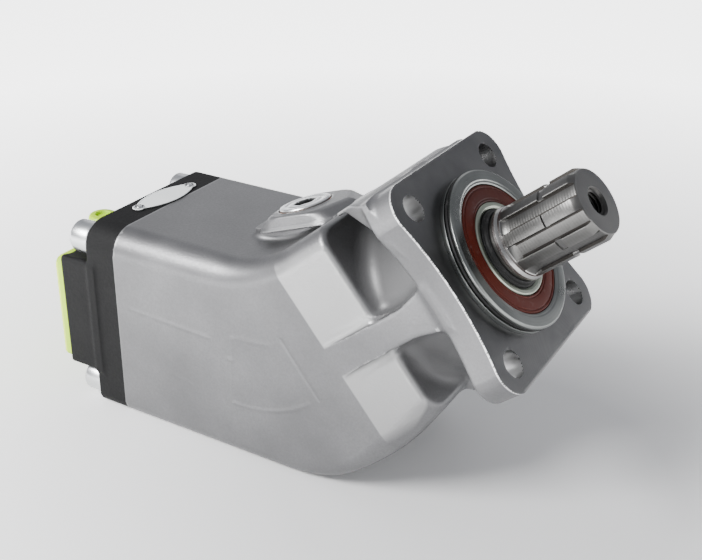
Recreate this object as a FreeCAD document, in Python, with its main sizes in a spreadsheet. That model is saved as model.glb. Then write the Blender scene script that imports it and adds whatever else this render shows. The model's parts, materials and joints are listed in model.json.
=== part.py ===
import FreeCAD, Part
import math
import os
import re

import Sketcher
from FreeCAD import Placement, Rotation, Vector

# Bent-axis axial piston pump with a square mounting flange, in millimetres.
#
# Row frame: the origin is the centre of the mounting flange's face, on the shaft axis.
# The barrel axis runs along X, with the end cap towards -X.  The shaft axis leaves the
# flange upwards and towards +X, at the bend angle to the barrel axis.
#
# Two local frames carry most of the parts, and Z is the turning axis in both of them:
#   shaft frame   origin at the flange face, Z out of the shaft end, X down the flange
#   barrel frame  origin where the two axes cross, Z towards the shaft, X straight down
# In both, Y is the row's own Y.

SIZES = {
    # name: value in millimetres, degrees or pieces
    "bend_angle": 40,
    "axis_depth": 110,          # flange face to the point where the two axes cross
    "piston_count": 7,
    "socket_circle": 33,        # radius of the ball centres on the drive plate
    "piston_length": 68,        # ball centre to piston ring
    "bore_radius": 9.25,
    "ball_radius": 7.5,
    # mounting flange and pilot
    "flange_half": 53,
    "flange_waist": 48.8,
    "flange_corner": 13,
    "flange_thick": 15,
    "bolt_offset": 40,
    "bolt_hole": 6.5,
    "pilot_radius": 40,
    "pilot_height": 7,
    "neck_radius": 41,
    "pocket_depth": 46.5,       # flange face to the wall behind the flange bolts
    "facet_depth": 78,          # flange face to where the sloped flats begin
    "facet_drop": 4,
    "block_top": 55,            # shaft axis to the top of the shaft block
    "block_bottom": 57,
    # barrel housing and end cap
    "body_half": 50.5,
    "body_top": 16.5,           # below the origin
    "body_bottom": 125,
    "near_corner": 13,          # top edge on the -Y side
    "far_corner": 8,            # top edge on the +Y side
    "bottom_corner": 7,
    "joint_plane": 191,         # behind the origin: housing meets end cap
    "plate_thick": 19,
    "boss_back": 231.5,         # behind the origin: rear face with the ports
    "boss_top": 38,
    "boss_bottom": 105,
    "cavity_radius": 45.5,
    "chamber_radius": 46.2,
    "screw_y": 41,
    "screw_z": 43,
    # barrel, along its axis from the crossing point, towards the end cap
    "barrel_radius": 42.6,
    "barrel_front": 39.7,
    "barrel_back": 98.1,
    "valve_back": 103.1,
    "gear_seat": 42,
    "gear_radius": 44.8,
    # drive shaft and its bearings
    "spline_radius": 17.5,
    "spline_root": 16,
    "spline_teeth": 8,
    "tooth_width": 6,
    "shaft_end": 55,
    "journal_radius": 20,
    "bearing_radius": 36,
    "seal_radius": 32.5,
    # ports in the rear face, each with a shallow seat for its cover plug
    "port_suction": 20,
    "port_pressure": 13.25,
    "port_seat": 1.5,
    "port_seat_depth": 4.3,
    "port_height": 70.7,        # below the origin
    # plug on the bend and the gauge port
    "plug_radius": 13.5,
    "plug_thread": 10.3,
    "boss_height": 75,
    "boss_shift": 4.5,
    "gauge_radius": 8.3,
}

doc = FreeCAD.newDocument("axial_piston_pump")
sheet = doc.addObject("Spreadsheet::Sheet", "Sizes")
for row, (alias, value) in enumerate(SIZES.items(), start=1):
    sheet.set("A%d" % row, alias)
    sheet.set("B%d" % row, str(value))
    sheet.setAlias("B%d" % row, alias)
doc.recompute()


def size(alias):
    """Read one driving dimension back from the sheet."""
    return float(sheet.get(alias))


def bound(formula):
    """Turn sheet names in a formula into references that an expression understands."""
    return re.sub(r"[a-z]\w+", lambda word: "Sizes." + word.group(0), str(formula))


def bind(item, **formulas):
    """Tie properties of one object to the sheet: bind(item, Radius="pilot_radius")."""
    for name, formula in formulas.items():
        item.setExpression(name.replace("__", "."), bound(formula))
    return item


BEND = math.radians(size("bend_angle"))
SHAFT_DIR = Vector(math.cos(BEND), 0, math.sin(BEND))
CROSSING = SHAFT_DIR * -size("axis_depth")
ROW = Placement()
SHAFT = Placement(Vector(), Rotation(Vector(0, 1, 0), 90 - size("bend_angle")))
BARREL = Placement(CROSSING, Rotation(Vector(0, 1, 0), 90))

finished = []


def finish(item, node, frame=ROW):
    """Name a finished sub-part after its node and put it in its frame."""
    if any("Placement" in path for path, formula in item.ExpressionEngine):
        item = moved(item, frame)
    else:
        item.Placement = frame.multiply(item.Placement)
    item.Label = node
    finished.append(item)
    return item


# ---------------------------------------------------------------- primitives

def cylinder(name, radius, low, high, x=0, y=0):
    """A cylinder along Z from low to high; every argument may be a formula."""
    item = doc.addObject("Part::Cylinder", name)
    return bind(item, Radius=radius, Height="(%s) - (%s)" % (high, low), Placement__Base__x=x,
                Placement__Base__y=y, Placement__Base__z=low)


def cone(name, low_radius, high_radius, low, high, x=0, y=0):
    item = doc.addObject("Part::Cone", name)
    return bind(item, Radius1=low_radius, Radius2=high_radius, Height="(%s) - (%s)" % (high, low),
                Placement__Base__x=x, Placement__Base__y=y, Placement__Base__z=low)


def box(name, x, y, z):
    """A box from pairs of low and high limits, each of which may be a formula."""
    item = doc.addObject("Part::Box", name)
    for size_name, base_name, (low, high) in zip(
            ("Length", "Width", "Height"), ("x", "y", "z"), (x, y, z)):
        item.setExpression(size_name, bound("(%s) - (%s)" % (high, low)))
        item.setExpression("Placement.Base." + base_name, bound(low))
    return item


def sphere(name, radius, x=0, y=0, z=0):
    item = doc.addObject("Part::Sphere", name)
    return bind(item, Radius=radius, Placement__Base__x=x, Placement__Base__y=y,
                Placement__Base__z=z)


def torus(name, major, minor, z=0):
    item = doc.addObject("Part::Torus", name)
    return bind(item, Radius1=major, Radius2=minor, Placement__Base__z=z)


def solid(name, shape):
    """A shape that neither a sketch nor a primitive makes well."""
    item = doc.addObject("Part::Feature", name)
    item.Shape = shape
    return item


def fuse(name, *items):
    item = doc.addObject("Part::MultiFuse", name)
    item.Shapes = list(items)
    item.Refine = True
    return item


def cut(name, base, *tools):
    item = doc.addObject("Part::Cut", name)
    item.Base = base
    item.Tool = tools[0] if len(tools) == 1 else fuse(name + "_tools", *tools)
    return item


def group(name, items):
    item = doc.addObject("Part::Compound", name)
    item.Links = list(items)
    return item


def place(item, frame):
    item.Placement = frame.multiply(item.Placement)
    return item


def moved(item, frame):
    """Put an item whose own position is bound to the sheet inside another frame."""
    holder = doc.addObject("Part::Compound", item.Name + "_placed")
    holder.Links = [item]
    holder.Placement = frame
    return holder


# ------------------------------------------------------------ sketched bodies

def origin_plane(body, role):
    return next(item for item in body.Origin.OriginFeatures if item.Role == role)


def new_sketch(body, name, role):
    sketch = body.newObject("Sketcher::SketchObject", name)
    sketch.AttachmentSupport = [(origin_plane(body, role), "")]
    sketch.MapMode = "FlatFace"
    return sketch


def set_coordinate(sketch, kind, axis, edge, formula):
    """Tie one coordinate of an edge's start point to the sheet."""
    if formula == 0:
        sketch.addConstraint(Sketcher.Constraint("PointOnObject", edge, 1, axis))
        return
    start = sketch.getPoint(edge, 1)
    value = start.x if kind == "DistanceX" else start.y
    index = sketch.addConstraint(Sketcher.Constraint(kind, -1, 1, edge, 1, value))
    if isinstance(formula, str):
        sketch.setExpression("Constraints[%d]" % index, bound(formula))


def number(formula):
    """The value of a formula that adds and subtracts sheet names and plain numbers."""
    if not isinstance(formula, str):
        return float(formula)
    total = 0.0
    for sign, word in re.findall(r"([+-]?)\s*([a-z_]\w*|[0-9.]+)", formula):
        value = size(word) if word[0].isalpha() else float(word)
        total += -value if sign == "-" else value
    return total


def draw_outline(sketch, points):
    """A closed outline of straight lines through points given as formulas."""
    corners = [Vector(number(x), number(y), 0) for x, y in points]
    first = sketch.GeometryCount
    for index, corner in enumerate(corners):
        following = corners[(index + 1) % len(corners)]
        sketch.addGeometry(Part.LineSegment(corner, following), False)
    for index, (x, y) in enumerate(points):
        edge = first + index
        following = first + (index + 1) % len(points)
        sketch.addConstraint(Sketcher.Constraint("Coincident", edge, 2, following, 1))
        set_coordinate(sketch, "DistanceX", -2, edge, x)
        set_coordinate(sketch, "DistanceY", -1, edge, y)


def turned(name, points):
    """A body turned about Z from an outline of (radius, height) points."""
    body = doc.addObject("PartDesign::Body", name)
    sketch = new_sketch(body, name + "_profile", "XZ_Plane")
    draw_outline(sketch, points)
    doc.recompute()
    revolve = body.newObject("PartDesign::Revolution", name + "_turn")
    revolve.Profile = sketch
    revolve.ReferenceAxis = (sketch, ["V_Axis"])
    revolve.Angle = 360
    body.Tip = revolve
    doc.recompute()
    return body


def sketch_circle(sketch, x, y, radius):
    """A circle whose centre and radius are formulas."""
    edge = sketch.addGeometry(
        Part.Circle(Vector(number(x), number(y), 0), Vector(0, 0, 1), number(radius)), False)
    for kind, axis, formula in (("DistanceX", -2, x), ("DistanceY", -1, y)):
        if formula == 0:
            sketch.addConstraint(Sketcher.Constraint("PointOnObject", edge, 3, axis))
            continue
        index = sketch.addConstraint(Sketcher.Constraint(kind, -1, 1, edge, 3, number(formula)))
        sketch.setExpression("Constraints[%d]" % index, bound(formula))
    index = sketch.addConstraint(Sketcher.Constraint("Radius", edge, number(radius)))
    sketch.setExpression("Constraints[%d]" % index, bound(radius))


def padded(body, sketch, name, length):
    pad = body.newObject("PartDesign::Pad", name)
    pad.Profile = sketch
    pad.setExpression("Length", bound(length))
    body.Tip = pad
    doc.recompute()
    return pad


def pocketed(body, sketch, name, length, reverse=False):
    """A pocket whose volume is checked, because one that points away cuts nothing."""
    before = body.Shape.Volume
    pocket = body.newObject("PartDesign::Pocket", name)
    pocket.Profile = sketch
    pocket.setExpression("Length", bound(length))
    pocket.Reversed = reverse
    body.Tip = pocket
    doc.recompute()
    if body.Shape.Volume > before - 1:
        raise RuntimeError("pocket cuts nothing: " + name)
    return pocket


def polar(body, feature, name, sketch, count):
    pattern = body.newObject("PartDesign::PolarPattern", name)
    pattern.Originals = [feature]
    pattern.Axis = (sketch, ["N_Axis"])
    pattern.Angle = 360
    pattern.setExpression("Occurrences", bound(count))
    body.Tip = pattern
    doc.recompute()
    return pattern


# ------------------------------------------------------------- shared outlines

def arc(start, middle, end):
    return Part.Arc(start, middle, end).toShape()


def wire_face(edges):
    return Part.Face(Part.Wire(Part.__sortEdges__(edges)))


def flange_outline():
    """Square flange: two straight sides, two waisted ones, and round lobes at the bolts."""
    half = size("flange_half")
    corner = size("flange_corner")
    centre_x = half - corner
    centre_y = size("bolt_offset") + 1.5
    rise = size("flange_waist") - centre_y
    waist_radius = (centre_x ** 2 + rise ** 2 - corner ** 2) / (2 * (corner - rise))
    waist_centre = size("flange_waist") + waist_radius
    lean = math.atan2(centre_x, waist_centre - centre_y)
    touch = Vector(centre_x - corner * math.sin(lean), centre_y + corner * math.cos(lean), 0)
    turn = (math.pi / 2 + lean) / 2
    middle = Vector(centre_x + corner * math.cos(turn), centre_y + corner * math.sin(turn), 0)
    side = Vector(half, centre_y, 0)
    edges = []
    for sx in (1, -1):
        edges.append(Part.makeLine(Vector(sx * half, -side.y, 0), Vector(sx * half, side.y, 0)))
        for sy in (1, -1):
            flip = [Vector(sx * point.x, sy * point.y, 0) for point in (side, middle, touch)]
            edges.append(arc(*flip))
    for sy in (1, -1):
        edges.append(arc(Vector(touch.x, sy * touch.y, 0), Vector(0, sy * size("flange_waist"), 0),
                         Vector(-touch.x, sy * touch.y, 0)))
    return wire_face(edges)


def body_section(back, front):
    """The barrel housing's rounded square section, as a solid between two X positions."""
    half = size("body_half")
    block = Part.makeBox(front - back, 2 * half, size("body_bottom") - size("body_top"),
                         Vector(back, -half, -size("body_bottom")))
    for height, side, radius in ((-size("body_top"), -half, size("near_corner")),
                                 (-size("body_top"), half, size("far_corner")),
                                 (-size("body_bottom"), -half, size("bottom_corner")),
                                 (-size("body_bottom"), half, size("bottom_corner"))):
        edges = [edge for edge in block.Edges
                 if abs(edge.tangentAt(edge.FirstParameter).x) > 0.9
                 and abs(edge.CenterOfMass.z - height) < 0.1
                 and abs(edge.CenterOfMass.y - side) < 0.1]
        block = block.makeFillet(radius, edges)
    return block


def on_shaft(down, along):
    """A point of the row's XZ plane from shaft-frame coordinates."""
    return SHAFT.multVec(Vector(down, 0, along))


SCREW_PLACES = [(sy * size("screw_y"), CROSSING.z + sz * size("screw_z"))
                for sy in (-1, 1) for sz in (-1, 1)]
BOLT_PLACES = [(sx, sy) for sx in (-1, 1) for sy in (-1, 1)]
TOWARDS_SHAFT = Rotation(Vector(0, 1, 0), 90)
BOSS_TILT = size("bend_angle") / 2
BOSS_FRAME = Placement(CROSSING, Rotation(Vector(0, 1, 0), -BOSS_TILT))
BOSS_SHIFT = size("boss_shift")
BOSS_HEIGHT = size("boss_height")
PLATE_PLACE = Vector(-199, 3, -size("body_top"))
GAUGE_PORT = Vector(-221.5, -23, -size("boss_top"))
PORTS = [("port_suction", -23), ("port_pressure", 27)]
REAR_FACE = "%.4f - boss_back" % -CROSSING.x


# -------------------------------------------------------------------- housing

def housing_shell():
    """The outside of the cast housing, without its bores."""
    half = size("body_half")
    top = size("block_top")
    bottom = size("block_bottom")
    pocket = -size("pocket_depth")
    facet = -size("facet_depth")
    back = -size("joint_plane")
    belly = -size("body_bottom")
    roof = -size("body_top")
    valley = Vector((roof * math.cos(BEND) - top) / math.sin(BEND), 0, roof)
    corner = Vector((bottom + belly * math.cos(BEND)) / math.sin(BEND), 0, belly)
    reach = 25
    elbow_in = corner + SHAFT_DIR * reach
    elbow_out = corner - Vector(reach, 0, 0)
    radius = reach / math.tan(BEND / 2)
    bisector = Vector(-math.sin(BEND / 2), 0, math.cos(BEND / 2))
    elbow_mid = corner + bisector * (radius / math.cos(BEND / 2) - radius)
    outline = [
        Part.makeLine(Vector(back, 0, roof), valley),
        Part.makeLine(valley, on_shaft(-top, pocket)),
        Part.makeLine(on_shaft(-top, pocket), on_shaft(46, pocket)),
        Part.makeLine(on_shaft(46, pocket), on_shaft(bottom, facet)),
        Part.makeLine(on_shaft(bottom, facet), elbow_in),
        arc(elbow_in, elbow_mid, elbow_out),
        Part.makeLine(elbow_out, Vector(back, 0, belly)),
        Part.makeLine(Vector(back, 0, belly), Vector(back, 0, roof)),
    ]
    block = wire_face(outline).extrude(Vector(0, 2 * half, 0))
    block.translate(Vector(0, -half, 0))

    def long_edges(points, side):
        found = []
        for edge in block.Edges:
            centre = edge.valueAt((edge.FirstParameter + edge.LastParameter) / 2)
            for point in points:
                if abs(centre.y - side) < 0.1 and (
                        Vector(centre.x, 0, centre.z) - point).Length < 1:
                    found.append(edge)
        return found

    middle_of_top = [(Vector(back, 0, roof) + valley) * 0.5,
                     (valley + on_shaft(-top, pocket)) * 0.5]
    block = block.makeFillet(size("near_corner"), long_edges(middle_of_top, -half))
    block = block.makeFillet(size("far_corner"), long_edges(middle_of_top, half))
    middle_of_bottom = [(on_shaft(bottom, facet) + elbow_in) * 0.5, elbow_mid,
                        (elbow_out + Vector(back, 0, belly)) * 0.5]
    for side in (-half, half):
        block = block.makeFillet(size("bottom_corner"), long_edges(middle_of_bottom, side))
    return block


def facet_wedge(sign_y, low, high):
    """What a sloped flat takes away from the side of the shaft block."""
    half = size("body_half")
    pocket = -size("pocket_depth")
    facet = -size("facet_depth")
    outline = Part.makePolygon([
        Vector(0, half, facet), Vector(0, half + 5, facet), Vector(0, half + 5, pocket + 1),
        Vector(0, half - size("facet_drop"), pocket + 1), Vector(0, half, facet)])
    wedge = Part.Face(outline).extrude(Vector(high - low, 0, 0))
    wedge.translate(Vector(low, 0, 0))
    if sign_y < 0:
        wedge = wedge.mirror(Vector(), Vector(0, 1, 0))
    wedge.Placement = SHAFT.multiply(wedge.Placement)
    return wedge


def shaft_prism(points, low, high):
    """A prism along the shaft axis over an outline of shaft-frame (X, Y) points."""
    corners = [Vector(x, y, low) for x, y in points]
    prism = Part.Face(Part.makePolygon(corners + corners[:1])).extrude(Vector(0, 0, high - low))
    prism.Placement = SHAFT.multiply(prism.Placement)
    return prism


def neck_and_flange():
    """Round neck, four ribs and two roof gussets that carry the flange plate."""
    thick = size("flange_thick")
    pocket = -size("pocket_depth")
    plate = flange_outline()
    plate.translate(Vector(0, 0, -thick))
    plate = plate.extrude(Vector(0, 0, thick))
    plate.Placement = SHAFT.multiply(plate.Placement)
    neck = Part.makeCylinder(size("neck_radius"), -pocket - thick + 4, Vector(0, 0, pocket - 2),
                             Vector(0, 0, 1))
    neck.Placement = SHAFT.multiply(neck.Placement)
    pieces = [plate, neck]
    side = size("body_half")
    waist = size("flange_waist")
    for sign in (1, -1):
        rib = Part.Face(Part.makePolygon([
            Vector(-5.7, 0, pocket - 2), Vector(-5.7, sign * side, pocket - 2),
            Vector(-5.7, sign * waist, -thick + 1), Vector(-5.7, 0, -thick + 1),
            Vector(-5.7, 0, pocket - 2)])).extrude(Vector(14.7, 0, 0))
        rib.Placement = SHAFT.multiply(rib.Placement)
        pieces.append(rib)
    half = size("flange_half")
    for low, high in ((-half, -30), (30, half)):
        pieces.append(shaft_prism([(low, -8), (high, -8), (high, 8), (low, 8)],
                                  pocket - 2, -thick + 1))
    step = -31
    under = -49
    pieces.append(shaft_prism([(-half, -50), (under, -50), (under, 50), (-half, 50)],
                              step, -thick + 1))
    top = -size("block_top")
    roof = Part.Face(Part.makePolygon([
        Vector(top, y, z) for y, z in (
            (-50, step), (50, step), (39, pocket - 2), (-39, pocket - 2),
            (-50, step))])).extrude(Vector(under - top, 0, 0))
    roof.Placement = SHAFT.multiply(roof.Placement)
    pieces.append(roof)
    return pieces


def top_boss():
    """The raised pad on the bend's inner side, square to the plug."""
    def ring(z, x_low, x_high, y_half):
        corners = [Vector(x_low, -y_half, z), Vector(x_high, -y_half, z),
                   Vector(x_high, y_half, z), Vector(x_low, y_half, z)]
        return Part.makePolygon(corners + corners[:1])
    boss = Part.makeLoft([ring(52, -30, 42, 24), ring(BOSS_HEIGHT, -11, 25, 19.5)], True)
    boss.Placement = BOSS_FRAME.multiply(boss.Placement)
    return boss


def make_housing():
    shell = housing_shell()
    for sign in (1, -1):
        for low, high in ((-60, -5.7), (9, 60)):
            shell = shell.cut(facet_wedge(sign, low, high))
    shell = shell.fuse(neck_and_flange() + [top_boss()]).removeSplitter()
    casting = solid("housing_casting", shell)

    crossing = "-axis_depth"
    shaft_bores = fuse(
        "shaft_bores",
        cylinder("chamber", "chamber_radius", crossing, "-axis_depth + 24"),
        cylinder("shoulder_bore", 31.5, "-axis_depth + 20", -80),
        cylinder("bearing_bore", "bearing_radius", -82, 5),
        cylinder("ring_groove", 37.6, -15, -12.8),
        *[cylinder("flange_hole", "bolt_hole", -30, 5, x="%d * bolt_offset" % sx,
                   y="%d * bolt_offset" % sy) for sx, sy in BOLT_PLACES])
    barrel_bores = fuse(
        "barrel_bores",
        sphere("elbow_room", "chamber_radius"),
        cylinder("barrel_room", "cavity_radius", -150, 0),
        cone("seal_chamfer", "cavity_radius + 3", "cavity_radius", -106.73, -103.73),
        *[cylinder("screw_hole", 6, -120, -84, x=CROSSING.z - z, y=y) for y, z in SCREW_PLACES])
    plug_hole = fuse(
        "plug_hole",
        cylinder("plug_hole_thread", "plug_thread + 0.2", 58, 80),
        cylinder("plug_channel", 6, 30, 60),
        cylinder("plug_spotface", "plug_radius + 0.7", "boss_height - 1.5", 80))
    tools = [moved(shaft_bores, SHAFT), moved(barrel_bores, BARREL),
             moved(plug_hole, BOSS_FRAME.multiply(Placement(Vector(BOSS_SHIFT, 0, 0), Rotation())))]
    finish(cut("housing_bored", casting, *tools), "housing")


# ------------------------------------------------------------------- end cap

def kidney(middle_angle, spread, inner, outer, low, high):
    """An arc-shaped slot about Z, square at its ends."""
    start = math.degrees(middle_angle) - spread
    ring = Part.makeCylinder(outer, high - low, Vector(0, 0, low), Vector(0, 0, 1), 2 * spread)
    core = Part.makeCylinder(inner, high - low + 2, Vector(0, 0, low - 1))
    slot = ring.cut(core)
    slot.rotate(Vector(), Vector(0, 0, 1), start)
    return slot


def make_end_cap():
    back = -size("joint_plane") - size("plate_thick")
    half = size("body_half")
    boss = Part.makeBox(size("boss_back") + back + 1, 2 * half,
                        size("boss_bottom") - size("boss_top"),
                        Vector(-size("boss_back"), -half, -size("boss_bottom")))
    boss = boss.makeFillet(2.5, [edge for edge in boss.Edges
                                 if abs(edge.CenterOfMass.x + size("boss_back")) < 0.1
                                 or abs(edge.tangentAt(edge.FirstParameter).x) > 0.9])
    plate = body_section(back, -size("joint_plane"))
    scallops = [Part.makeCylinder(11.5, 40, Vector(back - 40, y, z), Vector(1, 0, 0))
                for y, z in SCREW_PLACES]
    casting = solid("end_cap_casting", plate.fuse(boss.cut(scallops)).removeSplitter())
    spigot = cylinder("spigot", "cavity_radius - 0.1", -107.5, "-valve_back")
    bores = fuse(
        "end_cap_bores",
        cylinder("journal_hole", 7, -117, -100),
        cylinder("pin_hole", 2, -110, -100, x=37.5),
        *[cylinder("port_bore", radius, -150, -122, y=y) for radius, y in PORTS],
        *[cylinder("port_counterbore", radius + " + port_seat", -150, REAR_FACE + " + port_seat_depth",
                   y=y) for radius, y in PORTS],
        *[cylinder("cap_screw_hole", 6.6, -150, -100, x=CROSSING.z - z, y=y)
          for y, z in SCREW_PLACES],
        *[solid("kidney_channel", kidney(angle, 55, 24.5, 34, -124, -100))
          for angle in (math.pi / 2, -math.pi / 2)])
    small_holes = fuse(
        "small_holes",
        *[cylinder("rivet_hole", 1.05, -22, -10, x=PLATE_PLACE.x, y=PLATE_PLACE.y + 20 * sy)
          for sy in (-1, 1)],
        cylinder("gauge_hole", 6.5, -48, -30, x=GAUGE_PORT.x, y=GAUGE_PORT.y))
    body = fuse("end_cap_solid", casting, moved(spigot, BARREL))
    finish(cut("end_cap_bored", body, moved(bores, BARREL), small_holes), "end_cap")


def make_end_cap_fittings():
    finish(torus("cap_seal", "cavity_radius + 0.8", 0.88, z=-105.82), "end_cap_o_ring", BARREL)
    screws = []
    head_seat = -size("joint_plane") - size("plate_thick") - CROSSING.x
    for y, z in SCREW_PLACES:
        socket = doc.addObject("Part::Prism", "hex_socket")
        bind(socket, Circumradius=10 / math.sqrt(3), Height=7, Placement__Base__x=CROSSING.z - z,
             Placement__Base__y=y, Placement__Base__z=head_seat - 13)
        head = cylinder("screw_head", 9, head_seat - 12, head_seat, x=CROSSING.z - z, y=y)
        shank = cylinder("screw_shank", 5.9, -126.5, -87, x=CROSSING.z - z, y=y)
        screws.append(cut("cap_screw", fuse("screw_body", head, shank), socket))
    finish(group("cap_screws", screws), "end_cap_screws", BARREL)
    finish(cylinder("pin", 1.98, -109.8, -99, x=37.5), "valve_plate_pin", BARREL)
    finish(turned("journal", [(0, -116.9), (6.98, -116.9), (6.98, -69.5), (6, -68.5), (0, -68.5)]),
           "barrel_journal", BARREL)


def make_nameplate():
    """A pointed oval plate with two rivets."""
    length = 48
    width = 16.5
    body = doc.addObject("PartDesign::Body", "name_sheet")
    sketch = new_sketch(body, "nameplate_outline", "XY_Plane")
    tips = (Vector(0, -length / 2, 0), Vector(0, length / 2, 0))
    for side in (1, -1):
        sketch.addGeometry(Part.Arc(tips[0], Vector(side * width / 2, 0, 0), tips[1]), False)
    for y in (-20, 20):
        sketch.addGeometry(Part.Circle(Vector(0, y, 0), Vector(0, 0, 1), 1.1), False)
    padded(body, sketch, "nameplate_sheet", 1)
    top = Placement(PLATE_PLACE, Rotation())
    finish(body, "nameplate", top)
    rivets = [fuse("rivet", cylinder("rivet_head", 2.3, 1, 1.7, y=20 * sy),
                   cylinder("rivet_shank", 1, -5, 1, y=20 * sy)) for sy in (-1, 1)]
    finish(group("rivets", rivets), "nameplate_rivets", top)


def make_port_cover():
    """A moulded transport cover over both ports, with a shallow plug in each."""
    body = doc.addObject("PartDesign::Body", "cover_plate")
    sketch = new_sketch(body, "cover_outline", "XY_Plane")
    low = "-boss_bottom + 2"
    draw_outline(sketch, [(low, -49.5), ("-boss_top - 3", -49.5), ("-boss_top - 3", 49.5),
                          (low, 49.5)])
    pad = padded(body, sketch, "cover_sheet", 3)
    corners = ["Edge%d" % (index + 1) for index, edge in enumerate(pad.Shape.Edges)
               if abs(edge.tangentAt(edge.FirstParameter).z) > 0.9]
    rounded = body.newObject("PartDesign::Fillet", "cover_corners")
    rounded.Base = (pad, corners)
    rounded.Radius = 5
    body.Tip = rounded
    doc.recompute()
    plugs = [cylinder("cover_plug", radius + " + port_seat - 0.4", -4, 0.5, x="-port_height",
                      y=y) for radius, y in PORTS]
    frame = Placement(Vector(-size("boss_back"), 0, 0), Rotation(Vector(0, 1, 0), -90))
    finish(fuse("cover", body, *plugs), "port_cover", frame)


def make_plugs():
    gauge = fuse("gauge_cap", cylinder("gauge_grip", "gauge_radius", 0, 14),
                 cone("gauge_top", "gauge_radius", "gauge_radius - 1.3", 14, 16),
                 cylinder("gauge_stem", 6.3, -8, 0))
    finish(gauge, "gauge_port_plug", Placement(GAUGE_PORT, Rotation()))
    seat = BOSS_FRAME.multiply(Placement(Vector(BOSS_SHIFT, 0, BOSS_HEIGHT), Rotation()))
    socket = doc.addObject("Part::Prism", "plug_socket")
    bind(socket, Circumradius=10 / math.sqrt(3), Height=10, Placement__Base__z=-7)
    plug_body = fuse("plug_body", cylinder("plug_head", "plug_radius", -0.3, 1.2),
                     cylinder("plug_shank", "plug_thread", -12, -0.3))
    finish(cut("plug", plug_body, socket), "drain_plug", seat)
    finish(cut("plug_ring", cylinder("ring_outer", "plug_radius - 0.2", -1.5, -0.3),
               cylinder("ring_inner", "plug_thread + 0.1", -2, 0)), "drain_plug_seal", seat)


# ----------------------------------------------------------- barrel assembly

def socket_angle(index):
    return math.pi / 2 + 2 * math.pi * index / size("piston_count")


BORE_CIRCLE = size("socket_circle") * (1 + math.cos(BEND)) / 2
BALL_DRIFT = size("socket_circle") * (1 - math.cos(BEND)) / 2


def gear_teeth(inner, outer, phase):
    """Bevel teeth on a pitch cone that opens towards +Z, with its apex at the origin."""
    count = 40
    pitch = math.radians(90 - size("bend_angle") / 2)
    add = 1.0 / outer
    teeth = []
    for index in range(count):
        middle = 2 * math.pi * (index + phase) / count
        corners = []
        for radius in (inner, outer):
            for lean, width in ((-3.0 * add, 0.27), (add, 0.21)):
                for side in (-1, 1):
                    angle = middle + side * width * 2 * math.pi / count
                    corners.append(Vector(radius * math.cos(angle), radius * math.sin(angle),
                                          radius / math.tan(pitch + lean)))
        faces = [(0, 1, 3, 2), (4, 5, 7, 6), (0, 1, 5, 4), (2, 3, 7, 6), (0, 2, 6, 4), (1, 3, 7, 5)]
        shells = []
        for face in faces:
            ring = [corners[corner] for corner in face]
            for triangle in ((ring[0], ring[1], ring[2]), (ring[0], ring[2], ring[3])):
                shells.append(Part.Face(Part.makePolygon(list(triangle) + [triangle[0]])))
        teeth.append(Part.makeSolid(Part.makeShell(shells)))
    return teeth


def make_barrel():
    bores = []
    for index in range(int(size("piston_count"))):
        angle = socket_angle(index)
        place_x = -BORE_CIRCLE * math.sin(angle)
        place_y = BORE_CIRCLE * math.cos(angle)
        bores.append(cylinder("bore", "bore_radius", "-barrel_back + 4.5", -30,
                              x=place_x, y=place_y))
        bores.append(cylinder("bore_port", 5, -100, -90, x=place_x, y=place_y))
    block = turned("barrel_block", [
        (10, "-barrel_back"), ("barrel_radius - 1", "-barrel_back"),
        ("barrel_radius", "-barrel_back + 1"), ("barrel_radius", -49), ("gear_seat", -49),
        ("gear_seat", "-barrel_front"), (8.5, "-barrel_front"), (8.5, -64), (5, -64), (5, -68),
        (10, -68)])
    finish(cut("barrel", block, *bores), "cylinder_barrel", BARREL)

    root = math.tan(math.radians(90 - size("bend_angle") / 2) - 1.7 / size("gear_radius"))
    inner = size("gear_seat") + 0.01
    outer = size("gear_radius")
    ring = Part.Face(Part.makePolygon([Vector(r, 0, z) for r, z in (
        (inner, 49), (outer, 49), (outer, outer / root), (inner, inner / root), (inner, 49))]))
    ring = ring.revolve(Vector(), Vector(0, 0, 1), 360)
    teeth = gear_teeth(inner + 0.04, outer - 0.05, 0)
    gear = ring.fuse(teeth).removeSplitter()
    turn_back = Placement(CROSSING, Rotation(Vector(0, 1, 0), -90))
    finish(solid("timing_ring", gear), "barrel_timing_gear", turn_back)

    finish(turned("needles", [(7.03, -96), (9.97, -96), (9.97, -70.5), (7.03, -70.5)]),
           "barrel_needle_bearing", BARREL)
    pin = fuse("pin_body", sphere("pin_ball", 6),
               cone("pin_rod", 4.5, 3.2, -50, -2), cylinder("pin_foot", 8.2, -52, -48))
    finish(pin, "centre_pin", BARREL)
    helix = Part.makeHelix(2.65, 10.3, 6.2)
    section = Part.Wire(Part.Circle(Vector(6.2, 0, 0), Vector(0, 1, 0), 0.7).toShape())
    spring = Part.Wire(helix).makePipeShell([section], True, True)
    spring.translate(Vector(0, 0, -63.2))
    finish(solid("spring", spring), "barrel_spring", BARREL)


def make_valve_plate():
    body = doc.addObject("PartDesign::Body", "valve_body")
    sketch = new_sketch(body, "valve_disc", "XY_Plane")
    sketch_circle(sketch, 0, 0, "barrel_radius - 0.5")
    sketch_circle(sketch, 0, 0, 11)
    sketch_circle(sketch, 37.5, 0, 2.02)
    padded(body, sketch, "valve_sheet", "valve_back - barrel_back - 0.05")
    disc = place(body, Placement(Vector(0, 0, -size("valve_back")), Rotation()))
    slots = [solid("kidney_slot", kidney(angle, 62, 24.6, 33.6, -104, -97))
             for angle in (math.pi / 2, -math.pi / 2)]
    finish(cut("ported_plate", disc, *slots), "valve_plate", BARREL)


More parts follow.
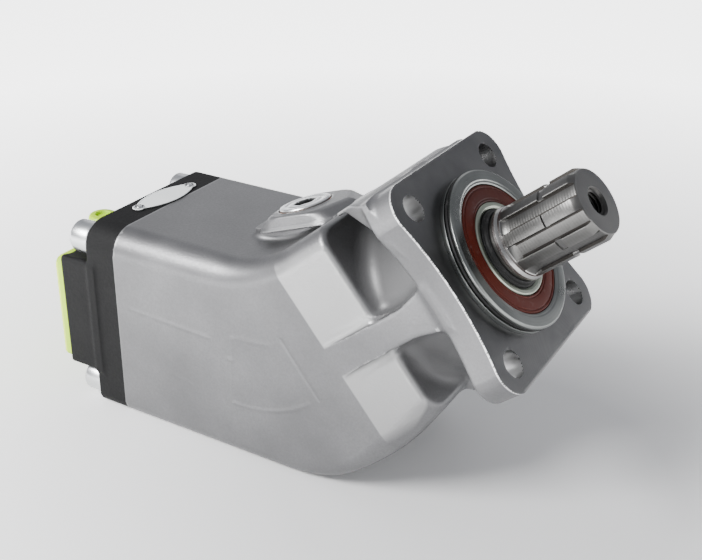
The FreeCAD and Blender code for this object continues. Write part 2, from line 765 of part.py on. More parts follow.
def make_pistons():
    length = size("piston_length")
    tilt = math.asin(BALL_DRIFT / length)
    for index in range(int(size("piston_count"))):
        angle = socket_angle(index)
        ball = CROSSING + (Vector(0, 1, 0) * math.cos(angle) + Vector(
            -math.sin(BEND), 0, math.cos(BEND)) * math.sin(angle)) * size("socket_circle")
        towards_head = Vector(-math.cos(tilt), -BALL_DRIFT / length * math.cos(angle),
                              BALL_DRIFT / length * math.sin(angle))
        name = "piston_%d" % (index + 1)
        crown = doc.addObject("Part::Sphere", name + "_crown")
        bind(crown, Radius="bore_radius - 0.15", Placement__Base__z="piston_length")
        crown.Angle1 = -33
        crown.Angle2 = 22
        groove = cut(name + "_groove",
                     cylinder("groove_out", "bore_radius + 1", "piston_length - 1.6",
                              "piston_length + 1.6"),
                     cylinder("groove_in", "bore_radius - 1.4", "piston_length - 2",
                              "piston_length + 2"))
        rod = fuse(name + "_rod", sphere("ball", "ball_radius"), cylinder("rod_neck", 3.8, 0, 14.2),
                   cone("rod_cone", 5.5, 8.1, 14, "piston_length - 5"), crown,
                   cylinder("crown_core", 7.6, "piston_length - 5.2", "piston_length + 3.4"))
        finish(cut(name + "_body", rod, groove), name,
               Placement(ball, Rotation(Vector(0, 0, 1), towards_head)))

        head = ball + towards_head * length
        ring = cut("ring_%d" % (index + 1), cylinder("ring_out", "bore_radius - 0.02", -1, 1),
                   cylinder("ring_in", "bore_radius - 1.1", -2, 2))
        finish(ring, "piston_ring_%d" % (index + 1), Placement(head, TOWARDS_SHAFT))

        shell = cut("shell_%d" % (index + 1), cylinder("shell_out", 9.2, -1.2, 9.2),
                    sphere("shell_in", "ball_radius + 0.05"))
        finish(shell, "socket_bush_%d" % (index + 1), Placement(ball, SHAFT.Rotation))


# ------------------------------------------------------------ shaft assembly

def make_shaft():
    body = turned("shaft_blank", [
        (0, "-axis_depth + 0.3"), (12, "-axis_depth + 0.3"), (12, -104), (14, -104), (14, -85),
        ("journal_radius", -85), ("journal_radius", -12), (19, -12), (19, -4.1),
        ("spline_radius", -4.1), ("spline_radius", 36), (16.7, 36), (16.7, 38.5),
        ("spline_radius", 38.5), ("spline_radius", "shaft_end - 3"), (15.6, "shaft_end"),
        (6.2, "shaft_end"), (5.1, "shaft_end - 1.1"), (5.1, "shaft_end - 25"), (0, "shaft_end - 28")])
    sketch = new_sketch(body, "valley_profile", "XY_Plane")
    teeth = int(size("spline_teeth"))
    root = size("spline_root")
    half_tooth = size("tooth_width") / 2
    slot = math.pi / teeth

    def beside_tooth(radius, turn):
        """The point at a radius on the flank of the tooth at one end of the valley."""
        along = math.sqrt(radius ** 2 - half_tooth ** 2)
        return Vector(along * math.cos(turn) + half_tooth * math.sin(turn),
                      along * math.sin(turn) - half_tooth * math.cos(turn), 0)

    outer = size("spline_radius") + 2
    upper = (beside_tooth(root, slot), beside_tooth(outer, slot))
    lower = tuple(Vector(point.x, -point.y, 0) for point in upper)
    sketch.addGeometry(Part.LineSegment(upper[0], upper[1]), False)
    sketch.addGeometry(Part.LineSegment(upper[1], lower[1]), False)
    sketch.addGeometry(Part.LineSegment(lower[1], lower[0]), False)
    sketch.addGeometry(Part.Arc(lower[0], Vector(root, 0, 0), upper[0]), False)
    sketch.AttachmentOffset = Placement(Vector(0, 0, 15.5), Rotation())
    doc.recompute()
    pocket = pocketed(body, sketch, "spline_valley", 45, reverse=True)
    polar(body, pocket, "spline_valleys", sketch, "spline_teeth")
    seat = sphere("pin_seat", 6.05, z="-axis_depth")
    finish(cut("shaft_with_seat", body, seat), "drive_shaft", SHAFT)


def make_drive_plate():
    depth = "-axis_depth"
    root = math.tan(math.radians(90 - size("bend_angle") / 2) - 1.7 / size("gear_radius"))
    plate = turned("plate_disc", [
        (14, "-axis_depth + 6"), (21, "-axis_depth + 6"), (21, "-axis_depth - 1.35"),
        (42.9, "-axis_depth - 1.35"), (42.9, "-axis_depth + 9.3"), (41.5, "-axis_depth + 10.5"),
        (40.5, "-axis_depth + 10.5"), (40.5, "-axis_depth + %.4f" % (40.5 / root)),
        ("gear_radius", "-axis_depth + %.4f" % (size("gear_radius") / root)),
        ("gear_radius", "-axis_depth + 22"), (23, "-axis_depth + 22"),
        (23, "-axis_depth + 24.9"), (14, "-axis_depth + 24.9")])
    teeth = solid("plate_teeth", Part.makeCompound(
        gear_teeth(size("gear_seat") + 0.05, size("gear_radius") - 0.05, 0.5)))
    teeth_placed = moved(teeth, Placement(Vector(0, 0, -size("axis_depth")), Rotation()))
    pockets = []
    circle = size("socket_circle")
    for index in range(int(size("piston_count"))):
        angle = socket_angle(index)
        between = angle + math.pi / size("piston_count")
        pockets.append(cylinder("socket_pocket", 9.25, "-axis_depth - 2", "-axis_depth + 9.3",
                                x=-circle * math.sin(angle), y=circle * math.cos(angle)))
        pockets.append(cylinder("plate_thread", 2, "-axis_depth - 2", "-axis_depth + 8",
                                x=-circle * math.sin(between), y=circle * math.cos(between)))
    geared = fuse("plate_geared", plate, *[teeth_placed])
    finish(cut("plate", geared, *pockets), "drive_plate", SHAFT)

    keeper = doc.addObject("PartDesign::Body", "keeper")
    sketch = new_sketch(keeper, "keeper_disc", "XY_Plane")
    sketch_circle(sketch, 0, 0, 42.6)
    sketch_circle(sketch, 0, 0, 21.2)
    padded(keeper, sketch, "keeper_sheet", 2)
    hole_sketch = new_sketch(keeper, "keeper_hole", "XY_Plane")
    sketch_circle(hole_sketch, "-socket_circle", 0, 8.6)
    doc.recompute()
    hole = pocketed(keeper, hole_sketch, "keeper_opening", 3, reverse=True)
    polar(keeper, hole, "keeper_openings", hole_sketch, "piston_count")
    place(keeper, Placement(Vector(0, 0, -size("axis_depth") - 3.35), Rotation()))
    sinks = []
    screws = []
    for index in range(int(size("piston_count"))):
        between = socket_angle(index) + math.pi / size("piston_count")
        x = -circle * math.sin(between)
        y = circle * math.cos(between)
        sinks.append(cone("screw_sink", 4, 2.1, "-axis_depth - 3.36", "-axis_depth - 1.34", x, y))
        screws.append(fuse(
            "keeper_screw",
            cone("keeper_head", 3.9, 2, "-axis_depth - 3.35", "-axis_depth - 1.36", x, y),
            cylinder("keeper_shank", 1.95, "-axis_depth - 1.6", "-axis_depth + 7", x, y)))
    finish(cut("keeper_sunk", keeper, *sinks), "ball_retainer_plate", SHAFT)
    finish(group("keeper_screws", screws), "retainer_screws", SHAFT)
    finish(turned("plate_nut", [(12.02, "-axis_depth + 0.5"), (19.5, "-axis_depth + 0.5"),
                                (19.5, "-axis_depth + 6"), (12.02, "-axis_depth + 6")]),
           "drive_plate_nut", SHAFT)


def make_bearing(prefix, frame):
    """A tapered roller bearing; Z runs from the cone's large rib to its small end."""
    lean = math.radians(12)
    finish(turned(prefix + "_cone", [
        ("journal_radius", 0), (28.5, 0), (28.5, 3), (25.6, 3), (23.42, 16.4), (24.4, 17),
        (24.4, 19), ("journal_radius", 19)]), prefix + "_bearing_cone", frame)
    finish(turned(prefix + "_cup", [
        ("bearing_radius", 3), (33.9, 3), (30.2, 17), (30.2, 19.5), ("bearing_radius", 19.5)]),
        prefix + "_bearing_cup", frame)
    rollers = []
    windows = []
    count = 16
    for index in range(count):
        turn = Rotation(Vector(0, 0, 1), 360.0 * index / count)
        spot = Placement(Vector(), turn).multiply(
            Placement(Vector(29.45, 0, 4.1), Rotation(Vector(0, 1, 0), -math.degrees(lean))))
        roller = Part.makeCone(3.82, 3.25, 11.8)
        roller.Placement = spot
        window = Part.makeCone(4.1, 3.55, 12.4, Vector(0, 0, -0.3), Vector(0, 0, 1))
        window.Placement = spot
        rollers.append(roller)
        windows.append(window)
    cage = Part.Face(Part.makePolygon([Vector(r, 0, z) for r, z in (
        (30.2, 3.2), (31.2, 3.2), (28.3, 17), (27.3, 17), (30.2, 3.2))]))
    cage = cage.revolve(Vector(), Vector(0, 0, 1), 360).cut(windows)
    finish(solid(prefix + "_rollers", Part.makeCompound(rollers + cage.Solids)),
           prefix + "_bearing_rollers", frame)


def make_shaft_support():
    make_bearing("rear", SHAFT.multiply(Placement(Vector(0, 0, -85), Rotation())))
    make_bearing("front", SHAFT.multiply(
        Placement(Vector(0, 0, -12), Rotation(Vector(1, 0, 0), 180))))
    finish(turned("cup_spacer", [(33, -65.5), ("bearing_radius", -65.5),
                                 ("bearing_radius", -31.5), (33, -31.5)]),
           "bearing_cup_spacer", SHAFT)
    finish(turned("shaft_nut", [(19.02, -12), (27, -12), (27, -4.3), (19.02, -4.3)]),
           "bearing_nut", SHAFT)
    clip = cut("clip_ring", cylinder("clip_out", 37.5, -15, -12.9),
               cylinder("clip_in", 32, -16, -12), box("clip_gap", (-45, 0), (-5, 5), (-16, -12)))
    finish(clip, "bearing_retaining_ring", SHAFT)


def make_seals():
    finish(turned("carrier", [
        (31.5, -12.7), (35.97, -12.7), (35.97, -8.6), (34.2, -8.6), (34.2, -6), (35.97, -6),
        (35.97, 0), ("pilot_radius", 0), ("pilot_radius", 2.2), (38.2, 2.2), (38.2, 4.8),
        ("pilot_radius", 4.8), ("pilot_radius", "pilot_height - 1"),
        ("pilot_radius - 1", "pilot_height"), ("seal_radius", "pilot_height"),
        ("seal_radius", -3.6), (29.5, -3.6), (29.5, -6), (31.5, -6)]), "seal_carrier", SHAFT)
    finish(torus("carrier_ring", 35.09, 0.88, z=-7.3), "carrier_o_ring", SHAFT)
    finish(torus("pilot_ring", 39.15, 0.94, z=3.5), "pilot_o_ring", SHAFT)
    finish(turned("seal_body", [
        (17.55, -3.5), ("seal_radius - 0.02", -3.5), ("seal_radius - 0.02", 5.6),
        ("seal_radius - 0.8", 6.3), (24.2, 6.3), (23.5, 5.6), (23.5, 1.4), (17.55, 1.4)]),
        "shaft_seal", SHAFT)
    finish(turned("support_ring", [(20, 1.5), (23.45, 1.5), (23.45, 6), (22.8, 6.7), (20, 6.7)]),
           "seal_support_ring", SHAFT)
    finish(turned("lip", [(17.57, 1.5), (19.95, 1.5), (19.95, 6.2), (19, 7.6), (17.57, 8.6)]),
           "dust_lip", SHAFT)


# ---------------------------------------------------------------------- build

make_housing()
make_end_cap()
make_end_cap_fittings()
make_nameplate()
make_port_cover()
make_plugs()
make_barrel()
make_valve_plate()
make_pistons()
make_shaft()
make_drive_plate()
make_shaft_support()
make_seals()
doc.recompute()

for item in doc.Objects:
    if "Invalid" in item.State or "Error" in item.State:
        raise RuntimeError("object failed: %s %s" % (item.Name, item.State))

os.makedirs("parts", exist_ok=True)
for item in finished:
    if item.Shape.isNull() or not item.Shape.isValid():
        raise RuntimeError("bad shape: " + item.Label)
    item.Shape.exportStep("parts/%s.step" % item.Label)
    print("%-24s solids %2d  volume %10.1f" % (item.Label, len(item.Shape.Solids), item.Shape.Volume))
print("nodes:", len(finished))
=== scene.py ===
import json
import math

import bmesh
import bpy
import numpy as np
from mathutils import Matrix, Vector


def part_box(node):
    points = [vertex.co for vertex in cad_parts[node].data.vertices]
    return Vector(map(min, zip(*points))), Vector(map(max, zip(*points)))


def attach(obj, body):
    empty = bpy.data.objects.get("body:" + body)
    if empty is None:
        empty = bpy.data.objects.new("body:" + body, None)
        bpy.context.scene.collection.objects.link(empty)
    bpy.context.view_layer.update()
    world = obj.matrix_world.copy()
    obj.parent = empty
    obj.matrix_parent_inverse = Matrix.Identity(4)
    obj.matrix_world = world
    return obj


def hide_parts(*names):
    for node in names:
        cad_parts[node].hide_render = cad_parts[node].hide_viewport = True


# Bent-axis axial piston pump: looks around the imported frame.
# Shapes are worked out in millimetres and scaled to metres when a mesh is made.
# u and h are distances across the shaft axis, downwards, and along it, forwards from the flange face.
# s and t are distances out from the bend and along the boss's face.

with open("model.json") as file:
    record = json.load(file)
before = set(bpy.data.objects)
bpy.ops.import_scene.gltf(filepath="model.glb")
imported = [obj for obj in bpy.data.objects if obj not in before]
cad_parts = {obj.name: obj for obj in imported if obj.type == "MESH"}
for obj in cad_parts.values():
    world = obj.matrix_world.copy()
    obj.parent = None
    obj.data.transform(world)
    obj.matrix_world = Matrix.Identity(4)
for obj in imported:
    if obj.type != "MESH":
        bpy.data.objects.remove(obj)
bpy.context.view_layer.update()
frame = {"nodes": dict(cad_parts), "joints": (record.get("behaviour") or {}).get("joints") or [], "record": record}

MM = 0.001
joints = {joint["name"]: joint for joint in frame["joints"]}
mounts = {mount["name"]: mount for mount in frame["record"]["mounts"]}
BEND_COS, _, BEND_SIN = joints["shaft_spin"]["axis"]
BEND = math.atan2(BEND_SIN, BEND_COS)
CROSS_X, _, CROSS_Z = (value / MM for value in joints["barrel_spin"]["pos_m"])

BOSS_COS, BOSS_SIN = math.cos(BEND / 2), math.sin(BEND / 2)


def at(x, y, z):
    """A place given in millimetres."""
    return Matrix.Translation((x * MM, y * MM, z * MM))


# Turns that stand a piece's Z along the shaft, out of the boss and towards the rear
SHAFT = Matrix(((BEND_SIN, 0, BEND_COS), (0, 1, 0), (-BEND_COS, 0, BEND_SIN))).to_4x4()
BOSS = at(CROSS_X, 0, CROSS_Z) @ Matrix(
    ((BOSS_COS, 0, -BOSS_SIN), (0, 1, 0), (BOSS_SIN, 0, BOSS_COS))).to_4x4()
REARWARD = Matrix(((0, 0, -1), (0, 1, 0), (1, 0, 0))).to_4x4()

# Grid spacing of the castings' meshes
CELL = 0.8


def node_box(node):
    low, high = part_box(node)
    return [value / MM for value in low], [value / MM for value in high]


# The barrel part of the housing and the port head, which share one section along X
JOINT = node_box("housing")[0][0]
CAP_LOW, CAP_HIGH = node_box("end_cap")
BODY_HALF, ROOF, BELLY = CAP_HIGH[1], CAP_HIGH[2], CAP_LOW[2]
NEAR_ROUND, FAR_ROUND, FLOOR_ROUND = 14.0, 8.0, 7.0
CAP_PLATE = -210.0
BAND_TOP, BAND_BOTTOM = -38.0, -105.0
COVER_THICK = 5.1
REAR = node_box("port_cover")[0][0] + COVER_THICK
SCREW_Y, SCREW_Z = 41.0, 43.0
SPIGOT = 45.5
PORTS = [(mounts[name]["dims"]["r_mm"], mounts[name]["pos_m"][1] / MM)
         for name in ("suction_port", "pressure_port")]
GAUGE_X, GAUGE_Y = -221.5, PORTS[0][1]

# The shaft block, its dressed facets and rib, the neck and the flange, in u and h
BLOCK_TOP, BLOCK_BOTTOM = 55.0, 57.0
POCKET = -46.5
FACET_START, FACET_DROP = -78.0, 4.0
RIB_LOW, RIB_HIGH = -5.7, 9.0
NECK = 41.0
FLANGE_THICK = 15.0
FLANGE_HALF, FLANGE_WAIST, FLANGE_ROUND = 53.0, 48.8, 13.0
BOLT = mounts["flange_bolts"]["dims"]["pcd_mm"] / math.sqrt(8)
BOLT_RADIUS = mounts["flange_bolts"]["dims"]["hole_r_mm"]

# The plug boss at the bend, in s and t
BOSS_TOP = 75.0
PLUG_SHIFT = 4.5
PLUG_SEAT = 14.2


def shaft_axes(x, z):
    return x * BEND_SIN - z * BEND_COS, x * BEND_COS + z * BEND_SIN


def boss_axes(x, z):
    along, up = x - CROSS_X, z - CROSS_Z
    return up * BOSS_COS - along * BOSS_SIN, along * BOSS_COS + up * BOSS_SIN


# ---------- distance fields, mm

def corner(a, b, cosine, radius):
    """The overlap of two half-spaces with a round edge; cosine is between their normals."""
    along_a, along_b = a + radius, b + radius
    share = 1 - cosine * cosine
    part_a = (along_a - cosine * along_b) / share
    part_b = (along_b - cosine * along_a) / share
    square = part_a ** 2 + part_b ** 2 + 2 * cosine * part_a * part_b
    rounded = np.sqrt(np.maximum(square, 0)) - radius
    return np.where((part_a > 0) & (part_b > 0), rounded, np.maximum(a, b))


def valley(a, b, cosine, radius):
    """Two half-spaces joined with a round fillet between them."""
    return -corner(-a, -b, cosine, radius)


def blend(a, b, reach):
    """The union of two shapes with a soft cast fillet."""
    near = np.maximum(reach - np.abs(a - b), 0) / reach
    return np.minimum(a, b) - near * near * reach / 4


def carve(a, b, reach):
    """The overlap of two shapes with a soft edge."""
    return -blend(-a, -b, reach)


def slab(value, low, high):
    """The space between two parallel planes."""
    return np.maximum(low - value, value - high)


def ramp(value, low, high):
    """A smooth change from 0 to 1."""
    t = np.clip((value - low) / (high - low), 0, 1)
    return t * t * (3 - 2 * t)


# ---------- meshes from distance fields

# Steps to find a crossing, the grid's shift off flat faces, layers sampled at once, the reach of a
# normal's probe, and the pull of a vertex to the middle of its crossings
ROOT_STEPS, GRID_SHIFT, SLICE, PROBE, STEADY = 4, 0.0137, 24, 0.03, 0.04


def sample(field, points):
    return field(points[:, 0], points[:, 1], points[:, 2])


def cross_points(field, axes, values):
    """Where the surface crosses the grid's edges: axis, edge, point, and if the edge starts inside."""
    found = []
    shape = np.array(values.shape)
    for axis in range(3):
        first = [slice(None)] * 3
        second = [slice(None)] * 3
        first[axis] = slice(0, -1)
        second[axis] = slice(1, None)
        near, far = values[tuple(first)], values[tuple(second)]
        index = np.argwhere((near < 0) != (far < 0))
        keep = np.ones(len(index), bool)
        for other in range(3):
            if other != axis:
                keep &= (index[:, other] > 0) & (index[:, other] < shape[other] - 1)
        index = index[keep]
        a = near[tuple(index.T)].astype(float)
        b = far[tuple(index.T)].astype(float)
        start = np.stack([axes[n][index[:, n]] for n in range(3)], 1)
        step = axes[axis][1] - axes[axis][0]
        low, high = np.zeros(len(index)), np.ones(len(index))
        for _ in range(ROOT_STEPS):
            t = low + (high - low) * np.clip(a / (a - b), 0.02, 0.98)
            point = start.copy()
            point[:, axis] += t * step
            value = sample(field, point)
            same = (value < 0) == (a < 0)
            low, a = np.where(same, t, low), np.where(same, value, a)
            high, b = np.where(same, high, t), np.where(same, b, value)
        found.append((axis, index, point, near[tuple(index.T)] < 0))
    return found


def field_mesh(name, field, low, high, cell):
    """A closed mesh of a distance field's surface that keeps its sharp edges."""
    axes = [np.arange(low[n] - 2 * cell, high[n] + 2.5 * cell, cell) + GRID_SHIFT * (n + 1)
            for n in range(3)]
    counts = [len(axis) for axis in axes]
    values = np.empty(counts, np.float32)
    grid_y, grid_z = np.meshgrid(axes[1], axes[2], indexing="ij")
    for start in range(0, counts[0], SLICE):
        x = axes[0][start:start + SLICE]
        whole = (len(x),) + grid_y.shape
        args = [np.broadcast_to(x[:, None, None], whole), np.broadcast_to(grid_y, whole),
                np.broadcast_to(grid_z, whole)]
        values[start:start + SLICE] = field(*args)

    found = cross_points(field, axes, values)
    points = np.concatenate([item[2] for item in found])
    normals = np.stack([sample(field, points + shift) - sample(field, points - shift)
                        for shift in np.eye(3) * PROBE], 1)
    normals /= np.maximum(np.linalg.norm(normals, axis=1, keepdims=True), 1e-9)

    strides = np.array([counts[1] * counts[2], counts[2], 1])
    rings = []
    for axis, index, _, _ in found:
        side, up = (axis + 1) % 3, (axis + 2) % 3
        ring = []
        for a, b in ((1, 1), (0, 1), (0, 0), (1, 0)):
            cell_index = index.copy()
            cell_index[:, side] -= a
            cell_index[:, up] -= b
            ring.append(cell_index @ strides)
        rings.append(np.stack(ring, 1))
    ring_cells = np.concatenate(rings)
    cells, flat = np.unique(ring_cells, return_inverse=True)
    flat = flat.reshape(ring_cells.shape)

    def gather(weights):
        return sum(np.bincount(flat[:, n], weights, len(cells)) for n in range(4))

    hits = gather(np.ones(len(points)))
    middle = np.stack([gather(points[:, n]) for n in range(3)], 1) / hits[:, None]
    matrix = np.empty((len(cells), 3, 3))
    target = np.zeros((len(cells), 3))
    reach = np.einsum("ij,ij->i", normals, points)
    for row in range(3):
        for column in range(row, 3):
            total = gather(normals[:, row] * normals[:, column])
            matrix[:, row, column] = total
            matrix[:, column, row] = total
        target[:, row] = gather(normals[:, row] * reach)
    target -= np.einsum("ijk,ik->ij", matrix, middle)
    matrix += np.eye(3) * STEADY
    offset = np.linalg.solve(matrix, target[:, :, None])[:, :, 0]
    corner_index = np.stack([cells // strides[0], cells % strides[0] // strides[1],
                             cells % strides[1]], 1)
    cell_low = np.stack([axes[n][corner_index[:, n]] for n in range(3)], 1)
    vertices = np.clip(middle + offset, cell_low, cell_low + cell)

    inward = np.concatenate([item[3] for item in found])
    quads = np.where(inward[:, None], flat, flat[:, ::-1])
    mesh = bpy.data.meshes.new(name)
    mesh.vertices.add(len(vertices))
    mesh.vertices.foreach_set("co", (vertices * MM).astype(np.float32).ravel())
    mesh.loops.add(quads.size)
    mesh.loops.foreach_set("vertex_index", quads.astype(np.int32).ravel())
    mesh.polygons.add(len(quads))
    mesh.polygons.foreach_set("loop_start", np.arange(0, quads.size, 4, dtype=np.int32))
    mesh.update(calc_edges=True)
    mesh.validate()
    return mesh


def face_facts(mesh):
    """Centres in millimetres and normals of a mesh's faces."""
    centres = np.zeros(len(mesh.polygons) * 3, np.float32)
    normals = np.zeros(len(mesh.polygons) * 3, np.float32)
    mesh.polygons.foreach_get("center", centres)
    mesh.polygons.foreach_get("normal", normals)
    return centres.reshape(-1, 3) / MM, normals.reshape(-1, 3)


def new_object(name, data):
    item = bpy.data.objects.new(name, data)
    bpy.context.scene.collection.objects.link(item)
    return item


def paint_second(mesh, where):
    """Give the second material to faces picked by their distance from Z and their height."""
    for face in mesh.polygons:
        centre = face.center / MM
        face.material_index = int(where(math.hypot(centre.x, centre.y), centre.z))


def add_piece(name, mesh, body, materials, matrix=None, replaces=(), sharp=35):
    """Put a mesh in the scene as a piece that rides on a CAD body."""
    for material in materials:
        mesh.materials.append(material)
    mesh.polygons.foreach_set("use_smooth", np.ones(len(mesh.polygons), bool))
    mesh.set_sharp_from_angle(angle=math.radians(sharp))
    item = new_object(name, mesh)
    if matrix is not None:
        item.matrix_world = matrix
    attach(item, body)
    if replaces:
        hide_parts(*replaces)


# ---------- turned pieces from rows

def closed_mesh(name, vertices, faces):
    """A mesh in metres with its normals outwards, from vertices in millimetres."""
    mesh = bpy.data.meshes.new(name)
    mesh.from_pydata([Vector(vertex) * MM for vertex in vertices], [], faces)
    mesh.validate()
    work = bmesh.new()
    work.from_mesh(mesh)
    bmesh.ops.recalc_face_normals(work, faces=work.faces)
    work.to_mesh(mesh)
    work.free()
    return mesh


def circle_rows(rows, columns):
    """Vertices and faces of a shape whose rows are (radius, height); a radius may be a function
    of the angle.  A first or last row with radius 0 closes on the axis."""
    angles = np.arange(columns) * 2 * math.pi / columns
    vertices = []
    faces = []
    previous = None
    for radius, height in rows:
        if not callable(radius) and radius == 0:
            vertices.append((0, 0, height))
            current = [len(vertices) - 1] * columns
        else:
            length = radius(angles) if callable(radius) else np.full(columns, float(radius))
            start = len(vertices)
            vertices += [(r * math.cos(a), r * math.sin(a), height) for r, a in zip(length, angles)]
            current = list(range(start, start + columns))
        if previous is not None:
            for n in range(columns):
                m = (n + 1) % columns
                ring = [previous[n], previous[m], current[m], current[n]]
                faces.append([vertex for k, vertex in enumerate(ring) if vertex != ring[k - 1]])
        previous = current
    return vertices, faces


def soften(points, radius, steps=3):
    """Round the corners of a closed (radius, height) outline."""
    result = []
    for n, point in enumerate(points):
        here = Vector(point)
        before = Vector(points[n - 1]) - here
        after = Vector(points[(n + 1) % len(points)]) - here
        reach = min(radius, before.length * 0.45, after.length * 0.45)
        start, end = here + before.normalized() * reach, here + after.normalized() * reach
        for k in range(steps + 1):
            t = k / steps
            result.append(tuple(start * (1 - t) ** 2 + here * 2 * t * (1 - t) + end * t * t))
    return result


def turned_mesh(name, rows, columns=128, closed=True):
    """A mesh turned about Z.  A closed outline joins its last row to its first."""
    if closed:
        rows = list(rows) + [rows[0]]
    vertices, faces = circle_rows(rows, columns)
    if closed:
        start = len(vertices) - columns
        faces = [[v - start if v >= start else v for v in face] for face in faces]
        vertices = vertices[:start]
    return closed_mesh(name, vertices, faces)


def layered_mesh(name, layers):
    """A closed solid from outlines with the same count of points, stacked from first to last."""
    count = len(layers[0][0])
    vertices = [(x, y, height) for outline, height in layers for x, y in outline]
    faces = [list(range(count))[::-1]]
    for level in range(len(layers) - 1):
        for n in range(count):
            m = (n + 1) % count
            a, b = level * count, (level + 1) * count
            faces.append([a + n, a + m, b + m, b + n])
    faces.append([(len(layers) - 1) * count + n for n in range(count)])
    return closed_mesh(name, vertices, faces)


def hexagon(flats, turn=0.0):
    """The radius of a hexagon at each angle."""
    def radius(angles):
        inside = (angles + turn) % (math.pi / 3) - math.pi / 6
        return flats / 2 / np.cos(inside)
    return radius


# ---------- materials

def fill(tree, item, values):
    """Set a node's inputs, or link them where the value is another node's output."""
    for name, value in values.items():
        if isinstance(value, bpy.types.NodeSocket):
            tree.links.new(value, item.inputs[name])
        else:
            item.inputs[name].default_value = value


def node(tree, kind, values=None, **settings):
    item = tree.nodes.new("ShaderNode" + kind)
    for name, value in settings.items():
        setattr(item, name, value)
    fill(tree, item, values or {})
    return item


def noise(tree, place, scale, detail=4.0, roughness=0.55):
    return node(tree, "TexNoise", {"Vector": place, "Scale": scale, "Detail": detail,
                                   "Roughness": roughness}).outputs["Fac"]


def stretch(tree, value, low, high, to_low, to_high):
    """Map one range of a value onto another."""
    return node(tree, "MapRange", {"Value": value, "From Min": low, "From Max": high,
                                   "To Min": to_low, "To Max": to_high}).outputs["Result"]


def maths(tree, operation, *terms):
    return node(tree, "Math", dict(enumerate(terms)), operation=operation).outputs[0]


def mix_colour(tree, factor, first, second):
    """Mix two colours; a Mix node's colour sockets are its inputs 6 and 7 and its output 2."""
    first, second = (value + (1.0,) if isinstance(value, tuple) else value for value in (first, second))
    item = node(tree, "Mix", data_type="RGBA")
    fill(tree, item, {0: factor, 6: first, 7: second})
    return item.outputs[2]


def bump(tree, height, strength, distance):
    return node(tree, "Bump", {"Height": height, "Strength": strength,
                               "Distance": distance}).outputs["Normal"]


def new_material(name, metallic, specular=0.5):
    material = bpy.data.materials.new(name)
    material.use_nodes = True
    tree = material.node_tree
    shader = tree.nodes["Principled BSDF"]
    fill(tree, shader, {"Metallic": metallic, "Specular IOR Level": specular})
    return material, tree, shader, node(tree, "TexCoord").outputs["Object"]


def edge_wear_and_highlight(tree):
    """How sharp and proud the surface is, from 0 to 1: it picks the edges lightened for wear and as a painted
    highlight.
    """
    return stretch(tree, node(tree, "NewGeometry").outputs["Pointiness"], 0.52, 0.60, 0, 1)


def fade(tree, value, start, end, first=0, last=1):
    """Change from one factor to another between two distances in millimetres."""
    return stretch(tree, value, start * MM, end * MM, first, last)


def product(tree, factors):
    total = factors[0]
    for factor in factors[1:]:
        total = maths(tree, "MULTIPLY", total, factor)
    return total


# Painted shade for the pockets by the neck
POCKET_SHADE_TONE = (0.070, 0.070, 0.071)
# Painted highlight along the edge of the flange face
FLANGE_EDGE_HIGHLIGHT_TONE = (0.80, 0.80, 0.80)
# Painted highlight that makes the side facets lighter
FACET_HIGHLIGHT_TONE = (0.345, 0.345, 0.345)


def housing_zones(tree, place):
    """Factors for the housing: the side facets, made lighter as a painted highlight; the edge of the flange face,
    a painted highlight; the pockets by the neck, painted shade.
    """
    x, y, z = node(tree, "SeparateXYZ", {0: place}).outputs
    along = maths(tree, "ADD", maths(tree, "MULTIPLY", x, BEND_COS),
                  maths(tree, "MULTIPLY", z, BEND_SIN))
    across = maths(tree, "SUBTRACT", maths(tree, "MULTIPLY", x, BEND_SIN),
                   maths(tree, "MULTIPLY", z, BEND_COS))
    side = maths(tree, "ABSOLUTE", y)
    rib_middle, half_rib = (RIB_LOW + RIB_HIGH) / 2, (RIB_HIGH - RIB_LOW) / 2
    off_rib = maths(tree, "ABSOLUTE", maths(tree, "SUBTRACT", across, rib_middle * MM))
    facet_side = BODY_HALF - FACET_DROP
    # Painted highlight: the facets beside the rib are painted lighter
    facet_highlight = product(tree, [
        fade(tree, along, FACET_START - 0.3, FACET_START + 0.5),
        fade(tree, along, POCKET - 1.0, POCKET + 0.5, 1, 0),
        fade(tree, off_rib, half_rib - 0.2, half_rib + 0.8),
        fade(tree, across, 3.0 - BLOCK_TOP, 9.0 - BLOCK_TOP),
        fade(tree, across, BLOCK_BOTTOM - 14.5, BLOCK_BOTTOM - 8.5, 1, 0),
        fade(tree, side, facet_side - 1.6, facet_side - 0.6)])
    # Painted shade: the pockets between the block and the flange are made dark
    pocket_shade = product(tree, [
        fade(tree, along, POCKET - 0.5, POCKET + 1.5),
        fade(tree, along, -FLANGE_THICK - 0.6, -FLANGE_THICK + 0.8, 1, 0),
        fade(tree, side, BODY_HALF - 5.5, BODY_HALF - 3.5, 1, 0),
        fade(tree, maths(tree, "ABSOLUTE", across), 46.0, 50.0, 1, 0)])
    # The second factor is a painted highlight along the edge of the flange face
    return facet_highlight, fade(tree, along, -1.0, -0.8), pocket_shade


